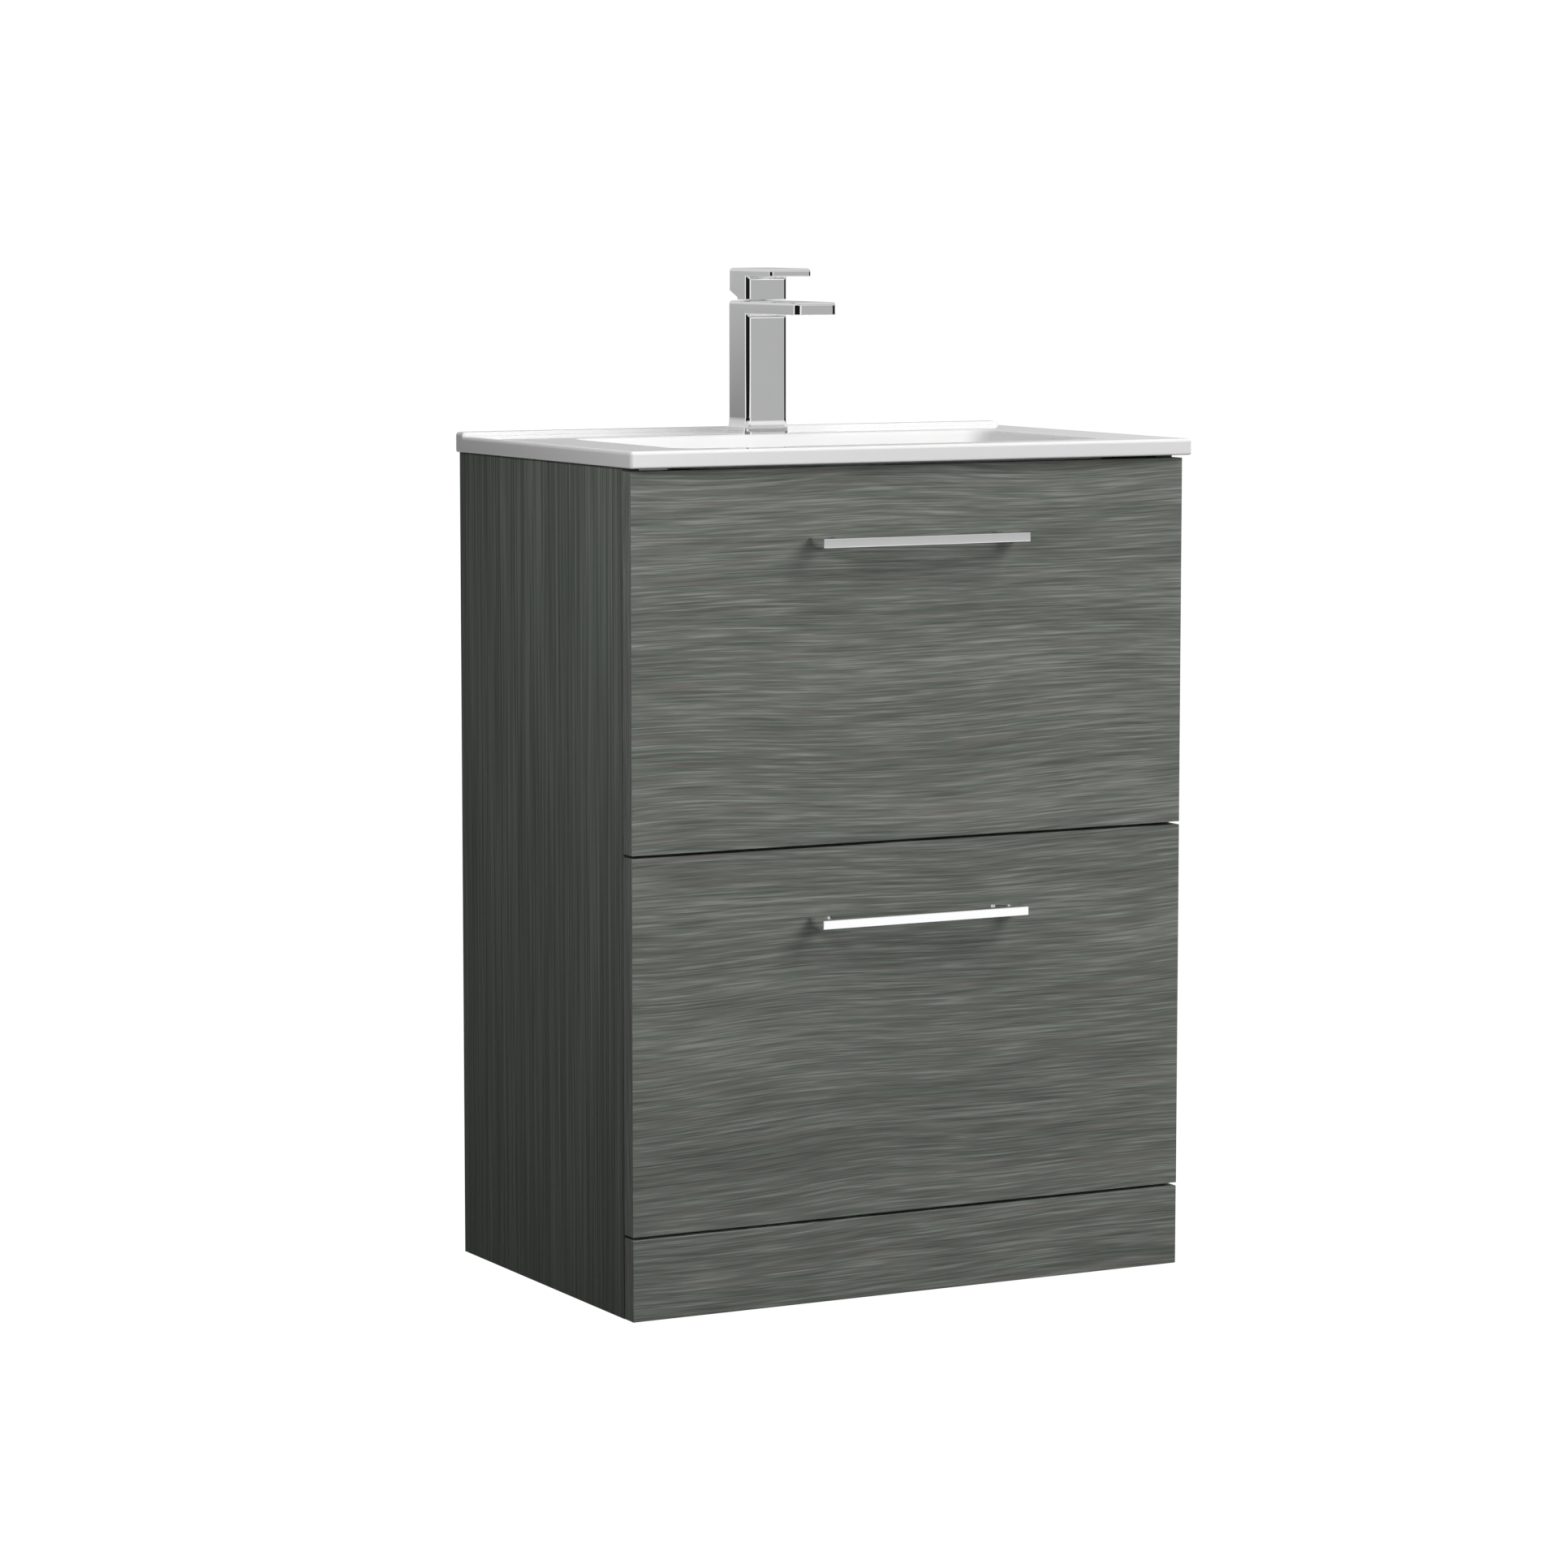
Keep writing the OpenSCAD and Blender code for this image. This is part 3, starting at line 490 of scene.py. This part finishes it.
DECK_Z = 818.0                          # the slab's level top
SLAB_UNDER = 802.0                      # its underside
UPPER_EDGE, LOWER_EDGE = 3.5, 2.0       # radii of the slab's outer edges
UPSTAND_Y = 188.0                       # front face of the rear upstand
COVE, NOSE = 2.4, 1.5                   # radii at the upstand's foot and top
DECK_COLUMNS, DECK_ROWS = 24, 16

BOWL_Y = -29.0                          # middle of the bowl, which is centred in x
BOWL_HALF_X, BOWL_HALF_Y = 233.0, 122.0
BOWL_CORNER = 25.0
BOWL_LIP, BOWL_FILLET = 5.5, 27.0       # radii at the bowl's rim and round its floor
BOWL_LEAN = 34.0                        # how far the walls come in from rim to floor
FLOOR_Z = 703.0
SHELL = 9.0                             # thickness of the bowl's wall
SLOPE = math.atan2(BOWL_LEAN, DECK_Z - FLOOR_Z)
WASTE_R = 22.5


class Slab:
    """The basin's level deck, its upstand and its outer edge."""

    def __init__(self, loft):
        self.loft = loft
        lo, hi = (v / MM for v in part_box("basin"))
        self.side_x = hi.x - UPPER_EDGE         # where the edge's rounding starts
        self.front_y = lo.y + UPPER_EDGE
        self.back_y = hi.y - UPPER_EDGE
        self.top = hi.z

    def deck(self):
        """The loop round the level deck, and the rim that the slab's outer edge hangs from."""
        profile = [(UPSTAND_Y - COVE, DECK_Z)]
        profile += [(UPSTAND_Y - COVE + COVE * math.sin(a), DECK_Z + COVE * (1 - math.cos(a)))
                    for a in arc(6)[1:]]
        profile += [(UPSTAND_Y + NOSE * (1 - math.cos(a)), self.top - NOSE + NOSE * math.sin(a))
                    for a in arc(5)[1:]]
        profile.append((self.back_y, self.top))

        xs = [-self.side_x + 2 * self.side_x * i / DECK_COLUMNS for i in range(DECK_COLUMNS + 1)]
        strip = [self.loft.ring([(x, y, z) for x in xs]) for y, z in profile]
        for a, b in zip(strip, strip[1:]):
            for i in range(DECK_COLUMNS):
                self.loft.bm.faces.new((a[i], a[i + 1], b[i + 1], b[i]))

        ys = [between(self.front_y, profile[0][0], i / DECK_ROWS) for i in range(DECK_ROWS)]
        left = self.loft.ring([(-self.side_x, y, DECK_Z) for y in ys])
        right = self.loft.ring([(self.side_x, y, DECK_Z) for y in ys])
        front = self.loft.ring([(x, self.front_y, DECK_Z) for x in xs[1:-1]])

        # both run counter-clockwise from the front left corner
        ahead, home = [left[0]] + front + right, list(reversed(left[1:]))
        deck_loop = ahead + list(reversed(strip[0])) + home
        up, down = [row[-1] for row in strip[:-1]], [row[0] for row in reversed(strip[:-1])]
        return deck_loop, ahead + up + list(reversed(strip[-1])) + down + home

    def fan(self, rim, steps=6):
        """Each rim point with the direction that the edge falls towards. A corner point comes once for each
        step of a quarter turn."""
        near = 0.01
        spread = []
        for vert in rim:
            x, y, z = (c / MM for c in vert.co)
            on_left, on_right = x < -self.side_x + near, x > self.side_x - near
            on_front, on_back = y < self.front_y + near, y > self.back_y - near
            if (on_left or on_right) and (on_front or on_back):
                start = {(True, True): 180, (False, True): 270, (False, False): 0, (True, False): 90}
                angles = arc(steps, start[on_left, on_front], start[on_left, on_front] + 90)
                spread += [(vert, (x, y, z), (math.cos(a), math.sin(a))) for a in angles]
            else:
                nx = -1 if on_left else 1 if on_right else 0
                ny = 0 if nx else (-1 if on_front else 1)
                spread.append((vert, (x, y, z), (nx, ny)))
        return spread

    def edge(self, rim):
        """The outer edge, from the rim down to the underside. Returns its lowest ring."""
        spread = self.fan(rim)

        def ring(out, height):
            return self.loft.ring([(x + nx * out, y + ny * out, height(z))
                                   for _, (x, y, z), (nx, ny) in spread])

        rings = [ring(UPPER_EDGE * math.sin(a), lambda z: z - UPPER_EDGE * (1 - math.cos(a)))
                 for a in arc(6)[1:]]
        rings += [ring(UPPER_EDGE - LOWER_EDGE * (1 - math.cos(a)),
                       lambda z: SLAB_UNDER + LOWER_EDGE * (1 - math.sin(a))) for a in arc(4)]
        first, count = rings[0], len(spread)
        for i in range(count):
            j = (i + 1) % count
            a, b = spread[i][0], spread[j][0]
            corner = (a, first[i], first[j])
            self.loft.bm.faces.new(corner if a is b else (*corner, b))
        self.loft.chain(rings)
        return rings[-1]


def bowl_ring(loft, offset, z, r):
    """A ring of the bowl, so far outside the outline of its rim."""
    outline = rounded_ring(BOWL_HALF_X + offset, BOWL_HALF_Y + offset, max(r, 3))
    return loft.ring([(x, BOWL_Y + y, z) for x, y in outline])


def make_bowl(loft):
    """The bowl's inside and outside. Returns its ring at the deck and its ring at the slab's underside."""
    lean_from_level = 90 - math.degrees(SLOPE)
    tight = math.tan((math.pi / 2 - SLOPE) / 2)
    # the profile goes over the lip, down the leaning wall and round the fillet to the floor
    lip = [(BOWL_LIP * tight - BOWL_LIP * math.sin(a), DECK_Z - BOWL_LIP * (1 - math.cos(a)))
           for a in arc(7, 0, lean_from_level)]
    foot = -BOWL_LEAN - BOWL_FILLET * tight
    fillet = [(foot + BOWL_FILLET * math.sin(a), FLOOR_Z + BOWL_FILLET * (1 - math.cos(a)))
              for a in arc(9, lean_from_level, 0)]
    wall = [(between(lip[-1][0], fillet[0][0], k / 4), between(lip[-1][1], fillet[0][1], k / 4))
            for k in (1, 2, 3)]
    low_corner = BOWL_CORNER + lip[-1][0]
    rings = [bowl_ring(loft, o, z, BOWL_CORNER + o) for o, z in lip + wall]
    rings += [bowl_ring(loft, o, z, low_corner + 4 * k / 9) for k, (o, z) in enumerate(fillet)]
    loft.chain(rings)

    outline = rounded_ring(BOWL_HALF_X + fillet[-1][0], BOWL_HALF_Y + fillet[-1][0], low_corner + 4)

    def floor_ring(share, z):
        """From the floor's outline, at 0, to the waste hole, at 1. Each point keeps its angle, so that no
        face twists."""
        points = []
        for x, y in outline:
            a = math.atan2(y, x)
            points.append((between(x, WASTE_R * math.cos(a), share),
                           BOWL_Y + between(y, WASTE_R * math.sin(a), share), z))
        return loft.ring(points)

    inside = [rings[-1]] + [floor_ring(share, FLOOR_Z) for share in (0.25, 0.5, 0.72, 0.88, 1.0)]
    under_floor = FLOOR_Z - SHELL
    outside = [floor_ring(share, under_floor) for share in (1.0, 0.6, 0.25)]
    big = BOWL_FILLET + SHELL
    outside += [bowl_ring(loft, foot + big * math.sin(a), under_floor + big * (1 - math.cos(a)),
                          low_corner + 8) for a in arc(7, 0, lean_from_level)]
    top_out = SHELL / math.cos(SLOPE) - BOWL_LEAN * (DECK_Z - SLAB_UNDER) / (DECK_Z - FLOOR_Z)
    outside.append(bowl_ring(loft, top_out, SLAB_UNDER, BOWL_CORNER + 6))
    loft.chain(inside + outside)
    return rings[0], outside[-1]


def build_basin():
    loft = Loft()
    slab = Slab(loft)
    deck_loop, rim = slab.deck()
    slab_low = slab.edge(rim)
    bowl_rim, bowl_low = make_bowl(loft)
    loft.fill(deck_loop, bowl_rim)
    loft.fill(slab_low, bowl_low)
    return loft.finish("basin_ceramic")


basin = build_basin()
basin.data.materials.append(MATERIALS["glaze"])
basin.modifiers.new("normals", "WEIGHTED_NORMAL").keep_sharp = True
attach(basin, "cabinet")
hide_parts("basin")


# ---------------------------------------------------------------- chrome solids, in millimetres

ROUND_STEPS = 8
CREASE = math.radians(32)


def cage(name, outline, near, far, radii, wide, place):
    """An outline given thickness from near to far. radii rounds the outline's own corners, and wide its two
    rims."""
    bm = bmesh.new()
    rows = [[bm.verts.new([c * MM for c in place(u, v, w)]) for u, v in outline] for w in (near, far)]
    for row in rows:
        bm.faces.new(row)
    largest = max(radii + wide)
    pairs = [(i, (i + 1) % len(outline)) for i in range(len(outline))]
    for i, j in pairs:
        bm.faces.new((rows[0][j], rows[0][i], rows[1][i], rows[1][j]))
    weight = bm.edges.layers.float.new("bevel_weight_edge")
    for i, j in pairs:
        bm.edges.get((rows[0][i], rows[1][i]))[weight] = radii[i] / largest
        for row in rows:
            bm.edges.get((row[i], row[j]))[weight] = wide[i] / largest
    bmesh.ops.recalc_face_normals(bm, faces=bm.faces)
    mesh = bpy.data.meshes.new(name)
    bm.to_mesh(mesh)
    bm.free()
    obj = put_in_scene(name, mesh)
    bevel = obj.modifiers.new("round", "BEVEL")
    bevel.limit_method = "WEIGHT"
    bevel.width = largest * MM
    bevel.segments = ROUND_STEPS
    bevel.use_clamp_overlap = False
    return obj


def ring_solid(name, rings):
    """A closed skin through rings of points, with both ends capped."""
    loft = Loft()
    rows = [loft.ring(r) for r in rings]
    loft.chain(rows)
    loft.bm.faces.new(rows[0])
    loft.bm.faces.new(rows[-1])
    return loft.finish(name)


def prism(name, ring, low, high):
    return ring_solid(name, [[(x, y, z) for x, y in ring] for z in (low, high)])


def round_bar(name, x, y, low, high, r, steps=64):
    turns = [2 * math.pi * i / steps for i in range(steps)]
    return prism(name, [(x + r * math.cos(a), y + r * math.sin(a)) for a in turns], low, high)


def box_solid(name, lo, hi):
    return prism(name, [(lo[0], lo[1]), (hi[0], lo[1]), (hi[0], hi[1]), (lo[0], hi[1])], lo[2], hi[2])


def carve(obj, cutters=(), joined=()):
    """Works obj's modifiers and the given solids into its mesh for good: cutters are taken away, and joined
    are added."""
    for kind, solids in (("DIFFERENCE", cutters), ("UNION", joined)):
        for solid in solids:
            step = obj.modifiers.new("work", "BOOLEAN")
            step.operation = kind
            step.solver = "EXACT"
            step.object = solid
    bpy.context.view_layer.update()
    done = obj.evaluated_get(bpy.context.evaluated_depsgraph_get())
    mesh = bpy.data.meshes.new_from_object(done)
    obj.modifiers.clear()
    obj.data = mesh
    for solid in (*cutters, *joined):
        bpy.data.objects.remove(solid)
    smooth(mesh)


def polish(obj, group, node):
    """Gives a chrome piece even highlights and puts it in a CAD node's place."""
    obj.data.materials.clear()
    obj.data.materials.append(MATERIALS["chrome"])
    obj.modifiers.new("creases", "EDGE_SPLIT").split_angle = CREASE
    normals = obj.modifiers.new("normals", "WEIGHTED_NORMAL")
    normals.keep_sharp = True
    normals.weight = 100
    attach(obj, group)
    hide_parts(node)


# ---------------------------------------------------------------- the tap

TAP_Y = 143.5                           # the column's axis, which stands at x = 0
TAP_HALF_X, TAP_HALF_Y = 23.0, 21.0     # half sizes of the column
FRONT_Y, BACK_Y = TAP_Y - TAP_HALF_Y, TAP_Y + TAP_HALF_Y
BODY_TOP = 949.5
SPOUT_REACH, SPOUT_T = 104.5, 12.5
MOUTH_IN = 16.0                         # from the spout's tip to the middle of its mouth
FOOT_R = 4.5                            # corner radius of the base flange on the column
FLANGE_OUT, FLANGE_H, FLANGE_EDGE = 1.8, 4.9, 0.9
FLARE_LOW, FLARE_TALL = 5.8, 9.2        # the hollow flare between flange and column
SUNK = 2.0                              # how far the flange starts inside the column

BLOCK_Z = 950.5                         # underside of the lever's block, a millimetre clear of the body
BLOCK_H, LEVER_H = 23.5, 31.5           # up to the plate's underside, and to its top
PLATE_REACH = 50.5


def side_view(y, z, x):
    """Places an outline that is drawn from the side."""
    return (x, y, z)


def flange_ring(out, height):
    outline = rounded_ring(TAP_HALF_X + out, TAP_HALF_Y + out, FOOT_R + out)
    return [(x, TAP_Y + y, DECK_Z + height) for x, y in outline]


def build_tap_body():
    tip, under = FRONT_Y - SPOUT_REACH, BODY_TOP - SPOUT_T
    outline = [(BACK_Y, DECK_Z), (BACK_Y, BODY_TOP), (tip, BODY_TOP), (tip, under), (FRONT_Y, under),
               (FRONT_Y, DECK_Z)]
    body = cage("tap_body_chrome", outline, -TAP_HALF_X, TAP_HALF_X, [0, 3.4, 3.4, 0.6, 5.0, 0],
                [4.5, 3.4, 6.0, 0.6, 4.5, 0], side_view)
    # the flange's section, as steps out from the column and up from the deck
    section = [(-SUNK, 0), (FLANGE_OUT, 0), (FLANGE_OUT, FLANGE_H)]
    section += [(FLANGE_OUT - FLANGE_EDGE * (1 - math.cos(a)), FLANGE_H + FLANGE_EDGE * math.sin(a))
                for a in arc(4)[1:]]
    section += [(0.9 * (1 - k / 8) ** 2 + 0.02, FLARE_LOW + FLARE_TALL * k / 8) for k in range(1, 9)]
    section += [(-SUNK, FLARE_LOW + FLARE_TALL)]
    flange = ring_solid("flange", [flange_ring(out, height) for out, height in section])
    bore = round_bar("bore", 0, TAP_Y, 908, 960, 14.15)
    mouth = round_bar("mouth", 0, tip + MOUTH_IN, 930, 943, 11.1)
    carve(body, [bore, mouth], [flange])
    polish(body, "cabinet", "tap_body")


def build_tap_lever():
    back, tip = BACK_Y - 1, FRONT_Y - PLATE_REACH
    # a slope under the block's rear half leaves room for tipping up
    outline = [(FRONT_Y, 0), (TAP_Y, 0), (TAP_Y, 2.2), (back, 10.2), (back, LEVER_H), (tip, LEVER_H),
               (tip, BLOCK_H), (FRONT_Y, BLOCK_H)]
    lever = cage("tap_lever_chrome", [(y, BLOCK_Z + z) for y, z in outline], -TAP_HALF_X, TAP_HALF_X,
                 [0.8, 0.3, 0.3, 0.8, 3.4, 3.4, 0.8, 4.0], [0.5, 0.2, 0.5, 4.5, 3.4, 3.2, 0.8, 4.5],
                 side_view)
    # the pocket that holds the spindle's cheeks, and the tongue between them
    pocket = box_solid("pocket", (-8.2, TAP_Y - 9, BLOCK_Z - 1), (8.2, TAP_Y + 9, BLOCK_Z + 13))
    tongue = box_solid("tongue", (-4.2, TAP_Y - 3.6, BLOCK_Z - 0.5), (4.2, TAP_Y + 3.6, BLOCK_Z + 14))
    carve(lever, [pocket], [tongue])
    polish(lever, "lever", "tap_lever")


build_tap_body()
build_tap_lever()


# ---------------------------------------------------------------- the handles

BAR_T = 8.0                             # the bar's depth from front to back
FRONT_CORNER, FRONT_RIM, SIDE_RIM = 0.6, 0.7, 0.15


def build_handle(group, node):
    """A flat bar whose two ends sweep back to the drawer front in a quarter curve."""
    lo, hi = (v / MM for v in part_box(node))
    reach = hi.y - lo.y - BAR_T
    curve = [(lo.x + BAR_T + reach * (1 - math.cos(a)), lo.y + BAR_T + reach * math.sin(a))
             for a in arc(14, 0, 84)]
    half = curve + [(curve[-1][0], hi.y), (lo.x, hi.y), (lo.x, lo.y)]
    outline = half + [(lo.x + hi.x - x, y) for x, y in reversed(half)]
    # the rims are soft in front, nearly sharp along the sides, and sharp against the drawer front
    soft = [FRONT_RIM if y == lo.y else SIDE_RIM if y < hi.y - 0.5 else 0.0 for _, y in outline]
    rims = [min(soft[i], soft[(i + 1) % len(soft)]) for i in range(len(soft))]
    corners = [FRONT_CORNER if x in (lo.x, hi.x) and y == lo.y else 0.0 for x, y in outline]
    obj = cage(node + "_bar", outline, lo.z, hi.z, corners, rims, lambda x, y, z: (x, y, z))
    carve(obj)
    polish(obj, group, node)


build_handle("upper_drawer", "upper_handle")
build_handle("lower_drawer", "lower_handle")


# ---------------------------------------------------------------- floor, lights and surroundings

LANE = math.radians(28)                 # azimuth of the bright lane on the floor
LANE_HALF, LANE_FADE = 0.5, 0.9         # metres from its middle line
LANE_START, LANE_FULL = 0.3, 0.6        # metres ahead of the cabinet's middle
LANE_GREY = 0.58                        # the floor beside the lane, in mirror images
FLOOR_HALF = 6.5
FLOOR_WHITE = 1.04
FLOOR_MATT = 0.02                       # what the floor gives back to matt surfaces

SKY_WHITE = 1.03                        # the background that the camera sees
SKY_AMBIENT = 0.018                     # what it gives to matt surfaces

# The background's tones as polished pieces mirror it, by azimuth in degrees.
RING = [(-180, 0.62), (-166, 0.46), (-149, 0.40), (-148, 1.0), (-120, 1.0), (-117, 0.01), (-10, 0.01),
        (-6, 0.95), (19, 0.95), (22, 0.445), (34, 0.445), (37, 0.01), (94, 0.01), (99, 0.88), (144, 0.74),
        (150, 0.48), (157, 0.38), (180, 0.62)]
# a grey wall to the left, darker towards the ground, and where it stands
WALL = [(0.25, 0.20), (0.29, 0.235), (0.41, 0.43), (0.46, 0.47), (0.65, 0.60)]
WALL_AT = [(-172, 0), (-164, 1), (-149.4, 1), (-149, 0)]
# overhead in front: a bright band, a darker one and a pale ceiling, and an even tone elsewhere
ROOF = [(0.0, 0.85), (0.20, 0.85), (0.26, 0.45), (0.42, 0.45), (0.60, 0.68)]
ROOF_AT = [(-50, 0), (-30, 1), (80, 1), (100, 0)]
ROOF_ELSEWHERE = 0.66
# below the horizon, where the floor's lane goes on
GROUND = [(8, LANE_GREY), (14, 1.0), (42, 1.0), (48, LANE_GREY)]

# name, azimuth, elevation, distance, size, power and what it points at
LIGHTS = [
    ("key", 50, 40, 3.4, 2.2, 82, (0, 0, 0.5)),
    ("side", -48, 26, 1.05, 0.3, 4.3, (-0.3, -0.03, 0.66)),
    ("top", 0, 88, 2.6, 1.6, 14, (0, 0, 0.5)),
    ("front", 12, 12, 4.5, 2.6, 50, (0, 0, 0.5)),
    ("back", 180, 6, 3.2, 1.6, 26, (0, 0, 0.4)),
]


def make_floor():
    s = FLOOR_HALF
    mesh = bpy.data.meshes.new("floor")
    mesh.from_pydata([(-s, -s, 0), (s, -s, 0), (s, s, 0), (-s, s, 0)], [], [(0, 1, 2, 3)])
    obj = put_in_scene("floor", mesh)
    obj.location.z = -0.5 * MM
    mat, t = new_material("pale_floor")
    _, (x, y, _z) = t.coordinates("Object")
    aside = t.plus(t.times(x, math.cos(LANE)), t.times(y, math.sin(LANE)))
    forward = t.minus(t.times(x, math.sin(LANE)), t.times(y, math.cos(LANE)))
    lane = t.times(t.remap(t.math("ABSOLUTE", aside), LANE_HALF, LANE_FADE, 1.0, 0.0, smooth=True),
                   t.remap(forward, LANE_START, LANE_FULL, smooth=True))
    path = t.add("ShaderNodeLightPath")
    seen = t.math("MAXIMUM", path.outputs["Is Camera Ray"], lane)
    glow = t.add("ShaderNodeEmission")
    t.link(t.mix(seen, grey(LANE_GREY), grey(FLOOR_WHITE)), glow.inputs[0])
    matt = t.add("ShaderNodeBsdfDiffuse")
    matt.inputs[0].default_value = rgba(grey(FLOOR_MATT))
    both = t.add("ShaderNodeMixShader")
    for out, socket in zip((path.outputs["Is Diffuse Ray"], glow.outputs[0], matt.outputs[0]), both.inputs):
        t.link(out, socket)
    t.output(both)
    mesh.materials.append(mat)


def make_light(name, azimuth, elevation, distance, size, power, target):
    data = bpy.data.lights.new(name, "AREA")
    data.shape = "DISK"
    data.size = size
    data.energy = power
    obj = put_in_scene(name, data)
    a, e = math.radians(azimuth), math.radians(elevation)
    away = Vector((math.sin(a) * math.cos(e), -math.cos(a) * math.cos(e), math.sin(e)))
    obj.location = Vector(target) + distance * away
    obj.rotation_euler = (Vector(target) - obj.location).to_track_quat("-Z", "Y").to_euler()
    obj.visible_glossy = False
    obj.visible_camera = False


def make_world():
    world = bpy.data.worlds.new("studio")
    bpy.context.scene.world = world
    world.use_nodes = True
    t = Tree(world.node_tree)
    _, (x, y, z) = t.coordinates("Generated")
    turn = t.remap(t.math("ARCTAN2", x, t.times(y, -1.0)), -math.pi, math.pi)

    def round_ramp(stops):
        return t.ramp(turn, [((degrees + 180) / 360, tone) for degrees, tone in stops])

    sky = round_ramp(RING)
    wall = t.ramp(t.remap(z, -0.1, 0.1), WALL)
    sky = t.mix(round_ramp(WALL_AT), sky, wall)
    above = t.mix(round_ramp(ROOF_AT), grey(ROOF_ELSEWHERE), t.ramp(t.remap(z, 0.0, 1.0), ROOF))
    sky = t.mix(t.remap(z, 0.05, 0.11, smooth=True), sky, above)
    sky = t.mix(t.remap(z, -0.125, -0.055, 1.0, 0.0), sky, round_ramp(GROUND))

    path = t.add("ShaderNodeLightPath")
    plain = t.mix(path.outputs["Is Diffuse Ray"], grey(SKY_WHITE), grey(SKY_AMBIENT))
    back = t.add("ShaderNodeBackground")
    t.link(t.mix(path.outputs["Is Glossy Ray"], plain, sky), back.inputs[0])
    t.output(back, "ShaderNodeOutputWorld")


make_floor()
make_world()
for light in LIGHTS:
    make_light(*light)
